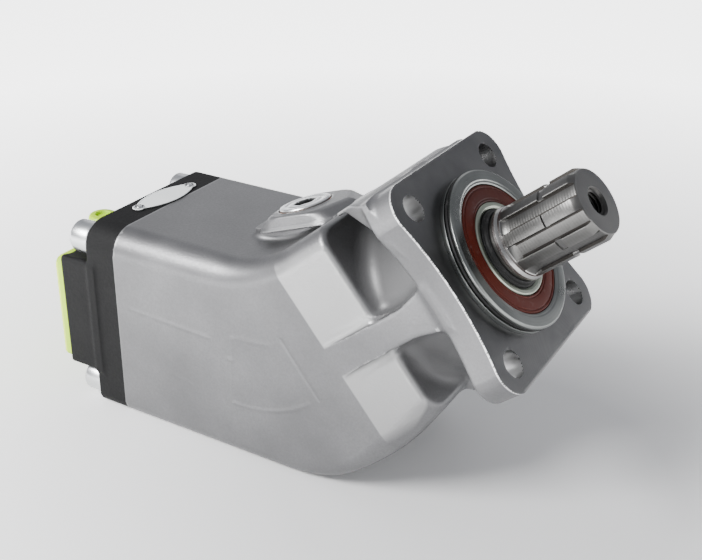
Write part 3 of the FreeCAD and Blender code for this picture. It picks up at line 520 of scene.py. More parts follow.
def cast_metal(name, dark, light, edge, rough, grain, grain_scale, metallic, specular=0.5, zones=None):
    """As-cast or blasted metal: cloudy tone, fine grain, a few soft pits, and edges lightened partly for wear and
    partly as a painted highlight.
    """
    material, tree, shader, place = new_material(name, metallic, specular)
    cloud = noise(tree, place, 22, 3)
    fine = noise(tree, place, grain_scale, 3, 0.6)
    pits = noise(tree, place, grain_scale * 0.28, 2)
    colour = mix_colour(tree, stretch(tree, cloud, 0.35, 0.68, 0, 1), dark, light)
    speckle = stretch(tree, fine, 0.30, 0.70, 0, 0.22)
    colour = mix_colour(tree, speckle, colour, tuple(channel * 0.6 for channel in dark))
    if zones:
        facet_highlight, rim, pocket_shade = zones(tree, place)
        # Painted highlight on the side facets
        colour = mix_colour(tree, facet_highlight, colour, FACET_HIGHLIGHT_TONE)
        # Painted highlight along the edge of the flange face
        colour = mix_colour(tree, rim, colour, FLANGE_EDGE_HIGHLIGHT_TONE)
        # Painted shade in the pockets by the neck, which are also made less metallic
        colour = mix_colour(tree, maths(tree, "MULTIPLY", pocket_shade, 0.8), colour, POCKET_SHADE_TONE)
        fill(tree, shader, {"Metallic": stretch(tree, pocket_shade, 0, 1, metallic, 0.25)})
    # Edges lightened partly for wear and partly as a painted highlight
    colour = mix_colour(tree, maths(tree, "MULTIPLY", edge_wear_and_highlight(tree), 0.55), colour, edge)
    uneven = maths(tree, "ADD", cloud, fine)
    pitting = maths(tree, "MULTIPLY", stretch(tree, pits, 0.25, 0.36, -1, 0), 0.4)
    fill(tree, shader, {
        "Base Color": colour,
        "Roughness": stretch(tree, uneven, 0.7, 1.3, rough - 0.05, rough + 0.07),
        "Normal": bump(tree, maths(tree, "ADD", fine, pitting), grain, 0.0004)})
    return material


def cut_metal(name, dark, light, rough, ring_scale, ring_depth, metallic=1.0, straight=False):
    """Turned or milled metal: fine tool rings about Z, or straight passes, light smudges, and edges lightened
    partly for wear and partly as a painted highlight.
    """
    material, tree, shader, place = new_material(name, metallic)
    x, y, z = node(tree, "SeparateXYZ", {0: place}).outputs
    if straight:
        distance = y
    else:
        square = maths(tree, "ADD", maths(tree, "MULTIPLY", x, x), maths(tree, "MULTIPLY", y, y))
        distance = maths(tree, "ADD", maths(tree, "SQRT", square), z)
    wander = maths(tree, "MULTIPLY", noise(tree, place, 60, 2), 5.0)
    phase = maths(tree, "ADD", maths(tree, "MULTIPLY", distance, ring_scale * 2 * math.pi), wander)
    rings = maths(tree, "SINE", phase)
    smudge = noise(tree, place, 45, 5, 0.6)
    fine = noise(tree, place, 1400, 2)
    colour = mix_colour(tree, stretch(tree, smudge, 0.32, 0.70, 0, 1), dark, light)
    colour = mix_colour(tree, stretch(tree, rings, -1, 1, 0, 0.10), colour,
                        tuple(channel * 0.55 for channel in dark))
    # Edges lightened partly for wear and partly as a painted highlight
    colour = mix_colour(tree, maths(tree, "MULTIPLY", edge_wear_and_highlight(tree), 0.5), colour,
                        tuple(min(1.0, channel * 1.5) for channel in light))
    uneven = maths(tree, "ADD", smudge, maths(tree, "MULTIPLY", fine, 0.12))
    height = maths(tree, "ADD", maths(tree, "MULTIPLY", rings, 0.5), maths(tree, "MULTIPLY", fine, 0.15))
    fill(tree, shader, {
        "Base Color": colour,
        "Roughness": stretch(tree, uneven, 0.36, 0.78, rough - 0.06, rough + 0.09),
        "Normal": bump(tree, height, ring_depth, 0.0002)})
    return material


def polymer(name, dark, light, rough, grain, grain_scale=900, specular=0.5):
    """Moulded plastic or rubber: even tone with slight mottling, fine mould grain and dust."""
    material, tree, shader, place = new_material(name, 0.0, specular)
    cloud = noise(tree, place, 35, 4)
    fine = noise(tree, place, grain_scale, 3)
    colour = mix_colour(tree, stretch(tree, cloud, 0.30, 0.70, 0, 1), dark, light)
    dust = stretch(tree, noise(tree, place, 260, 5, 0.7), 0.58, 0.78, 0, 0.18)
    colour = mix_colour(tree, dust, colour, tuple(0.5 * channel + 0.25 for channel in light))
    fill(tree, shader, {
        "Base Color": colour,
        "Roughness": stretch(tree, cloud, 0.3, 0.7, rough - 0.06, rough + 0.08),
        "Normal": bump(tree, fine, grain, 0.0003)})
    return material


def grey(tone):
    return (tone, tone, tone)


HOUSING_SKIN = cast_metal("housing_skin", (0.175, 0.175, 0.179), (0.225, 0.225, 0.23), grey(0.62),
                          0.42, 0.20, 900, metallic=0.85, zones=housing_zones)
CHARCOAL = cast_metal("charcoal_coated_iron", (0.007, 0.007, 0.0073), (0.013, 0.013, 0.0134),
                      (0.035, 0.035, 0.036), 0.66, 0.35, 700, metallic=0.0, specular=0.16)
MILLED = cut_metal("milled_aluminium", (0.125, 0.125, 0.127), grey(0.17), 0.36, 900, 0.04)
BORED = cut_metal("bored_aluminium", grey(0.42), grey(0.55), 0.30, 1400, 0.12)
BLACK_BORE = cut_metal("machined_iron", grey(0.16), grey(0.24), 0.40, 900, 0.12)
PLATE_EDGE_SHADOW = cut_metal("plate_edge_shadow", grey(0.05), grey(0.09), 0.55, 700, 0.05)
# Painted shade in the spline's tooth roots
ROOT_SHADE = cut_metal("root_painted_shade", (0.030, 0.028, 0.026), (0.060, 0.056, 0.052), 0.55, 900, 0.10)
ZINC = cut_metal("zinc_plate", (0.56, 0.57, 0.58), (0.72, 0.73, 0.74), 0.30, 1500, 0.08)
# Painted shade inside the hex sockets
SOCKET_SHADE = cut_metal("socket_painted_shade", grey(0.10), grey(0.16), 0.45, 1500, 0.10)
PLATE = cut_metal("satin_plate", (0.84, 0.87, 0.865), (0.92, 0.94, 0.935), 0.42, 700, 0.06,
                  metallic=0.0, straight=True)
RIVET = cut_metal("rivet_metal", (0.60, 0.61, 0.62), (0.78, 0.79, 0.80), 0.30, 2000, 0.06)
LIME = polymer("lime_plastic_moulding", (0.42, 0.66, 0.002), (0.50, 0.75, 0.006), 0.42, 0.10)
# Painted highlight for the cover's outer rim
LIME_HIGHLIGHT = polymer("lime_plastic_highlight", (0.66, 0.82, 0.09), (0.74, 0.90, 0.13), 0.45, 0.10)
SPLINE_STEEL = cut_metal("spline_steel", (0.100, 0.099, 0.096), (0.145, 0.143, 0.139), 0.36, 700, 0.10)
COLLAR_STEEL = cut_metal("collar_steel", (0.30, 0.297, 0.29), (0.40, 0.395, 0.39), 0.28, 1600, 0.03)
END_STEEL = cut_metal("shaft_end_steel", (0.105, 0.104, 0.102), (0.15, 0.148, 0.145), 0.38, 1200, 0.08)
# Painted shade inside the shaft's tapped hole
THREAD_SHADE = cut_metal("tapped_hole_shade", (0.045, 0.044, 0.043), (0.08, 0.078, 0.075), 0.40, 1600, 0.10)
PILOT_STEEL = cut_metal("pilot_steel", (0.17, 0.178, 0.172), (0.24, 0.25, 0.242), 0.30, 700, 0.04)
SEAL_RED = polymer("seal_red_rubber", (0.058, 0.006, 0.002), (0.085, 0.011, 0.005), 0.45, 0.14, 500, 0.16)
RUBBER = polymer("black_rubber_skin", grey(0.006), grey(0.011), 0.50, 0.12, specular=0.2)
GREY_RING = cut_metal("grey_green_ring", (0.30, 0.33, 0.27), (0.38, 0.41, 0.35), 0.34, 1500, 0.08)
COPPER = cut_metal("copper_washer_soft", (0.52, 0.24, 0.12), (0.66, 0.34, 0.18), 0.34, 1200, 0.08)

SLOT_MATERIAL = {
    "cast_aluminium": HOUSING_SKIN, "black_iron": CHARCOAL, "zinc_plated_steel": ZINC,
    "silver_foil_plate": PLATE, "bright_rivet": RIVET, "lime_plastic": LIME,
    "ground_steel": SPLINE_STEEL, "red_seal_rubber": SEAL_RED, "black_rubber": RUBBER,
    "seal_ring_metal": GREY_RING, "copper_washer": COPPER,
    "machined_steel": cut_metal("turned_steel", grey(0.34), (0.46, 0.46, 0.455), 0.30, 1200, 0.10),
    "bearing_steel": cut_metal("bearing_steel_ground", (0.50, 0.50, 0.51), (0.62, 0.62, 0.63), 0.20,
                               2600, 0.05),
    "spring_steel": cut_metal("spring_wire", (0.16, 0.16, 0.17), (0.26, 0.26, 0.27), 0.35, 900, 0.08),
    "bronze": cut_metal("bronze_turned", (0.42, 0.25, 0.10), (0.56, 0.36, 0.16), 0.32, 1200, 0.10),
    "piston_steel": cut_metal("piston_steel_polished", (0.52, 0.52, 0.53), (0.64, 0.64, 0.65), 0.18,
                              2600, 0.04),
    "ring_iron": cut_metal("ring_iron_ground", grey(0.18), grey(0.26), 0.35, 1800, 0.08),
}


def finish_cad_nodes():
    """Give every CAD node that keeps its own shape the material of its slot."""
    for part in frame["record"]["subparts"]:
        item = frame["nodes"][part["node"]]
        item.data.materials.clear()
        item.data.materials.append(SLOT_MATERIAL[part["material_slot"]])


# ---------- housing

def section(y, z):
    """The rounded square of the barrel part and port head, seen along X."""
    side = np.abs(y) - BODY_HALF
    roof = corner(side, z - ROOF, 0, np.where(y < 0, NEAR_ROUND, FAR_ROUND))
    return np.maximum(roof, corner(side, BELLY - z, 0, FLOOR_ROUND))


def side_outline(z, u, h):
    """The housing's top and bottom, seen from the side: two runs and a curve, and a cut chin."""
    inside_bend, outside_bend = 60.0, 69.0
    top = valley(z - ROOF, -BLOCK_TOP - u, BEND_COS, inside_bend)
    bottom = corner(BELLY - z, u - BLOCK_BOTTOM, BEND_COS, outside_bend)
    chin = 0.308 * (h - FACET_START) + 0.951 * (u - BLOCK_BOTTOM)
    return top, carve(bottom, chin, 6.0)


def flange_plate(u, y, h):
    """A square plate with round corners and sides drawn in to a shallow waist."""
    centre_u = FLANGE_HALF - FLANGE_ROUND
    centre_y = BOLT + 1.5
    rise = FLANGE_WAIST - centre_y
    waist_radius = (centre_u ** 2 + rise ** 2 - FLANGE_ROUND ** 2) / (2 * (FLANGE_ROUND - rise))
    outer = corner(np.abs(u) - FLANGE_HALF, y - centre_y - FLANGE_ROUND, 0, FLANGE_ROUND)
    waist = waist_radius - np.hypot(u, y - FLANGE_WAIST - waist_radius)
    plate = np.maximum(outer, waist)
    return corner(np.maximum(plate, h), -FLANGE_THICK - h, 0, 2.2)


def boss_pad(y, s, t):
    """Raised pad round the plug: a proud rim, slanted at its far end, on a narrower foot."""
    half, foot_half, lip = 19.3, 15.6, 67.6
    fall = BOSS_TOP - s
    bead = 0.7 * np.exp(-((s - lip - 1.1) / 1.1) ** 2)
    side = y - half - 0.10 * fall - bead
    left = (-11.0 - t + 0.012 * y * y - 1.15 * fall) * 0.66
    right = (0.866 * t + 0.503 * y - 28.0 - 1.25 * fall) * 0.63
    rim = carve(carve(side, left, 5.0), right, 5.0)
    rim = corner(corner(rim, s - BOSS_TOP, 0, 1.3), lip - s, 0, 1.0)
    foot = carve(carve(y - foot_half, -22.0 - t, 8.0), t - 37.0, 8.0)
    return rim, np.maximum(foot, slab(s, 40.0, lip + 1.9))


def ridge(x, z, x1, z1, x2, z2, bow=0.0):
    """Distance in the side plane to a cast line from one point to another, with a slight bow."""
    dx, dz = x2 - x1, z2 - z1
    length = math.hypot(dx, dz)
    along = np.clip(((x - x1) * dx + (z - z1) * dz) / length ** 2, 0, 1)
    lift = bow * 4 * along * (1 - along)
    px = x1 + along * dx - dz / length * lift
    pz = z1 + along * dz + dx / length * lift
    return np.hypot(x - px, z - pz)


def cast_lines(x, z):
    """Height of the mould's parting and insert lines on the flat side."""
    height = 0
    for line, tall, wide in (
            ((-181.5, -57.8, -131.5, -59.8), 0.26, 1.1),
            ((-117.2, -56.0, -117.8, -93.5), 0.30, 1.0),
            ((-117.8, -93.5, -72.0, -79.2, -4.5), 0.28, 1.0),
            ((-88.0, -48.0, -66.5, -75.0), -0.30, 0.9),
            ((-117.0, -55.6, -95.5, -53.3), 0.14, 1.4),
            ((-154.0, -89.9, -142.5, -91.6), 0.12, 1.4)):
        near = ridge(x, z, *line)
        height = height + tall * np.exp(-(near / wide) ** 2)
    spot = np.hypot(x + 118.7, z + 68.4)
    return height + 0.4 * np.exp(-(spot / 1.4) ** 2)


def barrel_and_block(x, signed_y, z, u, h):
    """The two thick parts of the casting, with facets dressed on the block beside its rib."""
    y = np.abs(signed_y)
    top, bottom = side_outline(z, u, h)
    facet_tilt = FACET_DROP / (POCKET - FACET_START)
    facet = y - BODY_HALF + facet_tilt * (h - FACET_START)
    side = np.maximum(y - BODY_HALF, blend(facet, slab(u, RIB_LOW, RIB_HIGH), 2.6))
    side = side - cast_lines(x, z) * (signed_y < 0)
    towards_block = ramp(h, -125.0, -80.0)
    roof_round = np.where(signed_y < 0, NEAR_ROUND - 3.0 * towards_block, FAR_ROUND)
    body = np.maximum(corner(side, top, 0, roof_round),
                      corner(side, bottom, 0, FLOOR_ROUND + 5.5 * towards_block))
    return corner(body, h - POCKET, 0, 3.0)


def add_ribs(shape, y, u, h):
    """The rib along each side from the block to the flange, and the rib above and below the neck."""
    run = np.clip((h - POCKET) / (-FLANGE_THICK - POCKET), 0, 1)
    rib_height = BODY_HALF - 3.2 * run ** 2
    flare = 3.0 * ramp(h, -32.0, -FLANGE_THICK)
    flank = slab(u, RIB_LOW - flare, RIB_HIGH + flare)
    span = slab(h, POCKET - 18, -FLANGE_THICK + 2)
    end_rib = np.maximum(corner(y - 8.0, np.abs(u) - FLANGE_HALF, 0, 3.0),
                         slab(h, POCKET - 3, -FLANGE_THICK + 2))
    foot = np.maximum(np.maximum(flank, y - rib_height + 6.2), span)
    shape = blend(shape, np.minimum(foot, end_rib), 6.0)
    side_rib = np.maximum(corner(flank, y - rib_height, 0, 1.2), span)
    return np.minimum(shape, side_rib)


def gusset(y, u, h):
    """The roof plate from the flange to the block, narrow and thin at the block, on two side webs."""
    roof = FLANGE_HALF + 3.0 * ramp(-h, 14.0, 26.0)
    roof_half = np.minimum(50.0 - 0.52 * np.maximum(-FLANGE_THICK - h, 0), 38.0 + 3.0 * (h + 38.0))
    underside = 49.5 + 4.8 * ramp(-h, 18.0, 34.0)
    plate = corner(-roof - u, u + underside, 0, 0.9)
    plate = corner(plate, (y - roof_half) * 0.6, 0, 1.0)
    web = np.maximum(0.643 * (u + 40.0) - 0.766 * (h + 18.6), -roof - u)
    web = corner(web, slab(y, roof_half - 4.5, roof_half) * 0.88, 0, 1.2)
    return np.maximum(np.minimum(plate, web), slab(h, POCKET - 4, -FLANGE_THICK + 2))


def casting_field(x, signed_y, z):
    """The outside of the housing."""
    y = np.abs(signed_y)
    u, h = shaft_axes(x, z)
    neck = np.maximum(np.hypot(u, y) - NECK, slab(h, POCKET - 3, -FLANGE_THICK + 3))
    shape = blend(barrel_and_block(x, signed_y, z, u, h), neck, 9.0)
    shape = add_ribs(shape, y, u, h)
    shape = blend(shape, gusset(y, u, h), 3.0)
    shape = blend(shape, flange_plate(u, y, h), 5.0)
    shape = np.maximum(shape, h)
    rim, foot = boss_pad(y, *boss_axes(x, z))
    return blend(blend(shape, foot, 4.0), rim, 0.7)


def screw_distance(y, z):
    """Distance from the nearest end cap screw's axis."""
    return np.hypot(np.abs(y) - SCREW_Y, np.abs(z - CROSS_Z) - SCREW_Z)


def bolt_distance(u, y):
    """Distance from the nearest flange bolt's axis."""
    return np.hypot(np.abs(u) - BOLT, np.abs(y) - BOLT)


def housing_field(x, y, z):
    """The casting with its barrel room, shaft bores, bolt holes, plug hole and screw holes cut."""
    u, h = shaft_axes(x, z)
    s, t = boss_axes(x, z)
    local_x = x - CROSS_X
    ring = np.hypot(y, z - CROSS_Z)
    reach = np.hypot(u, y)
    plug = np.hypot(t - PLUG_SHIFT, y)
    room = np.maximum(ring - SPIGOT, local_x)
    for space in (
            np.maximum(ring - (SPIGOT - 103.73 - local_x), local_x + 100),
            np.sqrt(local_x ** 2 + ring ** 2) - 46.2,
            np.maximum(reach - 46.2, slab(h, -110, -86)),
            np.maximum(reach - 31.5, slab(h, -90, -80)),
            np.maximum(reach - 36.0, -82.0 - h),
            np.maximum(reach - 37.6, slab(h, -15, -12.8)),
            np.maximum(bolt_distance(u, y) - BOLT_RADIUS, -30.0 - h),
            np.maximum(plug - 6.0, slab(s, 30, 60)),
            np.maximum(plug - 10.5, 58 - s),
            np.maximum(plug - PLUG_SEAT, BOSS_TOP - 1.5 - s),
            np.maximum(screw_distance(y, z) - 6.0, local_x + 84)):
        room = np.minimum(room, space)
    return np.maximum(np.maximum(casting_field(x, y, z), JOINT - x), -room)


def make_housing():
    low, high = node_box("housing")
    mesh = field_mesh("housing_casting", housing_field, low, high, CELL)
    centres, normals = face_facts(mesh)
    x, y, z = centres.T
    u, h = shaft_axes(x, z)
    s, t = boss_axes(x, z)
    ring = np.hypot(y, z - CROSS_Z)
    milled = (h > -0.25) | (x < JOINT + 0.25)
    bored = (bolt_distance(u, y) < BOLT_RADIUS + 0.8) & (h > -16)
    bored |= (np.hypot(u, y) < 38) & (h > -82)
    bored |= (np.hypot(t - PLUG_SHIFT, y) < PLUG_SEAT + 0.4) & (s > BOSS_TOP - 3.0)
    bored |= (ring < SPIGOT + 0.9) & (x < CROSS_X) & (np.abs(normals[:, 0]) < 0.5) & (s < 60)
    index = np.where(milled, 1, np.where(bored, 2, 0)).astype(np.int32)
    mesh.polygons.foreach_set("material_index", index)
    add_piece("housing_casting", mesh, "casing", [HOUSING_SKIN, MILLED, BORED],
              replaces=["housing"], sharp=38)


# ---------- end cap

def end_cap_field(x, y, z):
    """The port head: a plate with the housing's outline and a band for the ports behind it."""
    side = np.abs(y)
    ring = np.hypot(side, z - CROSS_Z)
    screw = screw_distance(y, z)
    plate = np.maximum(corner(section(y, z), CAP_PLATE - x, 0, 1.0), x - JOINT)
    band = np.maximum(corner(side - BODY_HALF, z - BAND_TOP, 0, 3.0),
                      corner(side - BODY_HALF, BAND_BOTTOM - z, 0, 3.0))
    band = carve(corner(band, REAR - x, 0, 1.6), 11.5 - screw, 3.0)
    band = np.maximum(band, x - (CAP_PLATE + 4))
    shape = blend(plate, band, 3.2)
    shape = np.maximum(shape, -np.maximum(screw - 11.0, slab(x, -235.0, CAP_PLATE)))
    shape = np.minimum(shape, np.maximum(ring - SPIGOT + 0.1, slab(x, JOINT - 3, CROSS_X - 103.1)))

    hole = np.minimum(screw - 6.6, np.maximum(ring - 7.0, slab(x, CROSS_X - 117, CROSS_X - 90)))
    for radius, place in PORTS:
        bore = np.hypot(y - place, z - CROSS_Z)
        hole = np.minimum(hole, np.maximum(bore - radius, x - (CROSS_X - 122)))
        hole = np.minimum(hole, np.maximum(bore - radius - 1.5, x + 227.2))
    kidney = np.maximum(slab(ring, 24.5, 34.0), slab(x, CROSS_X - 124, CROSS_X - 90))
    kidney = np.maximum(kidney, np.abs(z - CROSS_Z) * 0.57 - side * 0.82)
    gauge = np.hypot(x - GAUGE_X, y - GAUGE_Y)
    hole = np.minimum(np.minimum(hole, kidney), np.maximum(gauge - 6.5, -48.0 - z))
    return np.maximum(shape, -hole)


def make_end_cap():
    low, high = node_box("end_cap")
    mesh = field_mesh("end_cap_casting", end_cap_field, low, high, CELL)
    x, y, z = face_facts(mesh)[0].T
    milled = x > JOINT - 0.25
    for (_, place), rim in zip(PORTS, (22.0, 15.2)):
        milled |= (np.hypot(y - place, z - CROSS_Z) < rim) & (x < -207)
    mesh.polygons.foreach_set("material_index", milled.astype(np.int32))
    add_piece("end_cap_casting", mesh, "casing", [CHARCOAL, BLACK_BORE],
              replaces=["end_cap"], sharp=38)


# ---------- turned pieces

def face_ring(name, outline, columns, material, replaced):
    """A ring about the shaft axis in front of the neck."""
    add_piece(name, turned_mesh(name, outline, columns), "casing", [material], SHAFT, [replaced])


def make_seals():
    pilot = soften([
        (31.5, -12.6), (35.95, -12.6), (35.95, -8.6), (34.2, -8.6), (34.2, -6.0), (35.95, -6.0),
        (35.95, 0.0), (40.0, 0.0), (40.0, 2.2), (38.2, 2.2), (38.2, 4.8), (40.0, 4.8), (40.0, 6.1),
        (39.1, 7.0), (34.6, 7.0), (34.0, 6.6), (33.3, 6.6), (32.55, 6.1), (32.55, -3.6),
        (29.5, -3.6), (29.5, -6.0), (31.5, -6.0)], 0.22)
    face_ring("pilot_ring", pilot, 192, PILOT_STEEL, "seal_carrier")
    loop = [(39.15 + 0.94 * math.cos(a), 3.5 + 0.94 * math.sin(a))
            for a in np.arange(20) * 2 * math.pi / 20]
    face_ring("pilot_o_ring_skin", loop, 160, RUBBER, "pilot_o_ring")
    seal = soften([
        (17.6, -3.5), (32.45, -3.5), (32.45, 5.5), (31.9, 6.2), (31.2, 6.2), (31.0, 5.9),
        (30.4, 5.9), (30.2, 6.25), (25.4, 6.25), (25.2, 5.95), (24.7, 5.95), (24.5, 6.25),
        (23.9, 6.1), (23.55, 5.5), (23.55, 1.4), (17.6, 1.4)], 0.25)
    face_ring("shaft_seal_face", seal, 160, SEAL_RED, "shaft_seal")
    support = soften([(20.05, 1.5), (23.45, 1.5), (23.45, 6.0), (22.9, 6.6), (21.2, 6.6),
                      (20.6, 6.2), (20.05, 6.0)], 0.25)
    face_ring("seal_support_skin", support, 144, GREY_RING, "seal_support_ring")
    lip = soften([(17.62, 1.5), (19.95, 1.5), (19.95, 5.9), (19.6, 6.8), (19.1, 7.1), (18.9, 7.9),
                  (18.3, 8.7), (17.7, 8.9), (17.62, 7.4), (18.2, 5.8), (17.62, 4.2)], 0.3)
    face_ring("dust_lip_skin", lip, 144, RUBBER, "dust_lip")


TEETH, HALF_TOOTH = 8, 3.0
TIP, ROOT = 17.5, 16.0
TURN = 2 * math.pi / TEETH
PHASE = math.radians(-19.0)
TOOTH_EDGE, TOOTH_FOOT = math.asin(HALF_TOOTH / TIP), math.asin(HALF_TOOTH / ROOT)
# Angular width of the painted shade in each tooth root
ROOT_SHADE_WIDTH = 0.045


def spline_radius(angles):
    """The radius of the straight-sided spline at each angle, with small broken edges."""
    inside = np.abs((angles + TURN / 2) % TURN - TURN / 2)
    flank = HALF_TOOTH / np.maximum(np.sin(np.maximum(inside, 1e-4)), 1e-4)
    broken = TIP - np.clip(0.012 - (TOOTH_EDGE - inside), 0, 0.012) * 22
    valley_radius = np.where(inside >= TOOTH_FOOT - 1e-6, ROOT, np.clip(flank, ROOT, TIP))
    return np.where(inside <= TOOTH_EDGE + 1e-6, broken, valley_radius)


def shaft_finish(centre):
    """The material of a shaft face from its centre."""
    reach = math.hypot(centre.x, centre.y)
    # Painted shade inside the tapped hole
    if reach < 7.05 and centre.z > 20:
        return THREAD_SHADE
    if centre.z > 54.9 and reach > 7.0 or 35.9 < centre.z < 38.9 and reach > 16.1:
        return END_STEEL
    if 9.0 < centre.z < 15 or reach < 15.0 and centre.z > 54 or centre.z < -4:
        return COLLAR_STEEL
    inside = abs((math.atan2(centre.y, centre.x) - PHASE + TURN / 2) % TURN - TURN / 2)
    # Painted shade: faces beside each tooth's foot are darkened
    in_root = 19.0 < centre.z < 54.5 and reach < 16.8
    return ROOT_SHADE if in_root and TOOTH_EDGE < inside < TOOTH_FOOT + ROOT_SHADE_WIDTH else SPLINE_STEEL


def make_shaft():
    # The columns include the edge of the painted shade in each tooth root
    half_tooth = [0, TOOTH_EDGE * 0.45, TOOTH_EDGE - 0.014, TOOTH_EDGE, TOOTH_FOOT, TOOTH_FOOT + ROOT_SHADE_WIDTH,
                  (TOOTH_FOOT + TURN / 2) / 2, TURN / 2]
    marks = half_tooth + [TURN - mark for mark in half_tooth[-2:0:-1]]
    angles = np.array([k * TURN + mark for k in range(TEETH) for mark in marks])
    valleys = spline_radius(angles)

    def ring(value):
        return np.full(len(angles), float(value))

    rows = [(ring(radius), height) for radius, height in (
        (0.001, -109.6), (12, -109.6), (12, -104), (14, -104), (14, -85), (20, -85), (20, -12),
        (19, -12), (19, -4.1), (TIP, -4.1), (TIP, 10.6), (18.1, 10.8), (18.4, 11.1), (18.4, 12.3),
        (18.2, 12.7), (TIP, 13.6), (TIP, 14.6))]
    run_out = 6
    for step in range(1, run_out + 1):
        share = step / run_out
        rows.append((TIP - (TIP - valleys) * math.sin(share * math.pi / 2), 14.6 + 5.2 * share ** 1.6))
    groove = np.minimum(valleys, 16.6)
    rows += [(valleys, 27), (valleys, 35.6), (valleys, 35.8), (groove, 36.1), (groove, 38.7),
             (valleys, 39.0), (valleys, 45), (valleys, 51.4), (np.minimum(valleys, 17.25), 52.1),
             (np.minimum(valleys, 15.9), 54.5), (np.minimum(valleys, 15.55), 55.0)]
    rows += [(ring(radius), height) for radius, height in (
        (14.2, 55.0), (7.1, 55.0), (6.9, 54.8), (6.2, 54.0), (6.05, 53.6))]
    height = 53.2
    while height > 33.0:
        rows += [(ring(5.2), height), (ring(5.2), height - 0.35), (ring(6.0), height - 0.95),
                 (ring(6.0), height - 1.2)]
        height -= 1.75
    rows += [(ring(5.1), height), (ring(5.1), 30.0), (ring(0.001), 27.0)]

    outlines = [([(r * math.cos(a + PHASE), r * math.sin(a + PHASE)) for r, a in zip(radius, angles)],
                 level) for radius, level in rows]
    mesh = layered_mesh("splined_shaft", outlines)
    materials = [SPLINE_STEEL, COLLAR_STEEL, THREAD_SHADE, ROOT_SHADE, END_STEEL]
    for face in mesh.polygons:
        face.material_index = materials.index(shaft_finish(face.center / MM))
    add_piece("splined_shaft", mesh, "shaft", materials, SHAFT, ["drive_shaft"], 25)


def screw_rows(head_radius, head_height, flats, socket_depth, shank_radius, shank_length, turn):
    """A socket head screw: head upwards from 0, shank downwards."""
    hexagonal = hexagon(flats, turn)
    wide = hexagon(flats + 0.9, turn)
    return [
        (0, -shank_length), (shank_radius - 0.8, -shank_length),
        (shank_radius, -shank_length + 1.0), (shank_radius, -0.6), (shank_radius + 0.5, 0.0),
        (head_radius - 0.6, 0.0), (head_radius - 0.2, 0.25), (head_radius, 0.7),
        (head_radius, head_height - 1.8), (head_radius - 0.16, head_height - 1.1),
        (head_radius - 0.5, head_height - 0.5), (head_radius - 1.0, head_height - 0.12),
        (head_radius - 1.5, head_height),
        (flats / 2 + 1.6, head_height), (wide, head_height), (hexagonal, head_height - 0.5),
        (hexagonal, head_height - socket_depth), (0, head_height - socket_depth - 1.2)]


def make_screws():
    places = [(sy * SCREW_Y, CROSS_Z + sz * SCREW_Z) for sy in (-1, 1) for sz in (-1, 1)]
    for number, (y, z) in enumerate(places, 1):
        name = "cap_screw_%d" % number
        rows = screw_rows(8.9, 11.9, 10.0, 6.2, 5.9, 15.8, number * 0.7)
        mesh = turned_mesh(name, rows, 144, closed=False)
        # Painted shade inside the screw's hex socket
        paint_second(mesh, lambda reach, height: reach < 5.9 and 5.5 < height < 11.6)
        seat = at(CAP_PLATE, y, z) @ REARWARD
        add_piece(name, mesh, "casing", [ZINC, SOCKET_SHADE], seat,
                  ["end_cap_screws"] if number == 1 else (), 30)


def make_drain_plug():
    flats, turn = 10.0, 0.35
    wide = hexagon(flats + 1.0, turn)
    rows = [
        (0, -12.0), (9.3, -12.0), (10.3, -11.0), (10.3, -1.0), (9.9, -0.7), (9.9, -0.35),
        (12.9, -0.3), (13.35, -0.05), (13.4, 0.5), (13.1, 0.95), (12.5, 1.12), (9.6, 1.12),
        (9.3, 0.98), (8.9, 0.98), (8.6, 1.15), (7.2, 1.15), (wide, 1.1), (hexagon(flats, turn), 0.6),
        (hexagon(flats, turn), -6.4), (0, -7.6)]
    mesh = turned_mesh("boss_plug", rows, 144, closed=False)
    seat = BOSS @ at(PLUG_SHIFT, 0, BOSS_TOP)
    # Painted shade inside the plug's hex socket
    paint_second(mesh, lambda reach, height: reach < 5.85 and -7.8 < height < 0.9)
    add_piece("boss_plug", mesh, "casing", [ZINC, SOCKET_SHADE], seat,
              ["drain_plug"], 30)
    washer = soften([(10.45, -1.5), (13.25, -1.5), (13.25, -0.32), (10.45, -0.32)], 0.35, steps=4)
    add_piece("plug_washer", turned_mesh("plug_washer", washer, 128), "casing",
              [COPPER], seat, ["drain_plug_seal"])


# ---------- plate, caps, rivets

def plate_outline(length, width, lobe, inset, steps=44):
    """A long oval between two arcs with a small round lobe at each end, drawn in by an inset."""
    half, rise = length / 2, width / 2
    radius = (half ** 2 + rise ** 2) / (2 * rise)
    centre = half - lobe
    points = []
    for side in (1, -1):
        for k in range(steps):
            y = side * (half - inset) * math.sin(math.pi * (k / steps - 0.5))
            lens = math.sqrt(radius ** 2 - y ** 2) - (radius - rise) - inset
            round_end = math.sqrt(max((lobe - inset) ** 2 - (abs(y) - centre) ** 2, 0))
            points.append((side * max(lens, round_end), y))
    return points


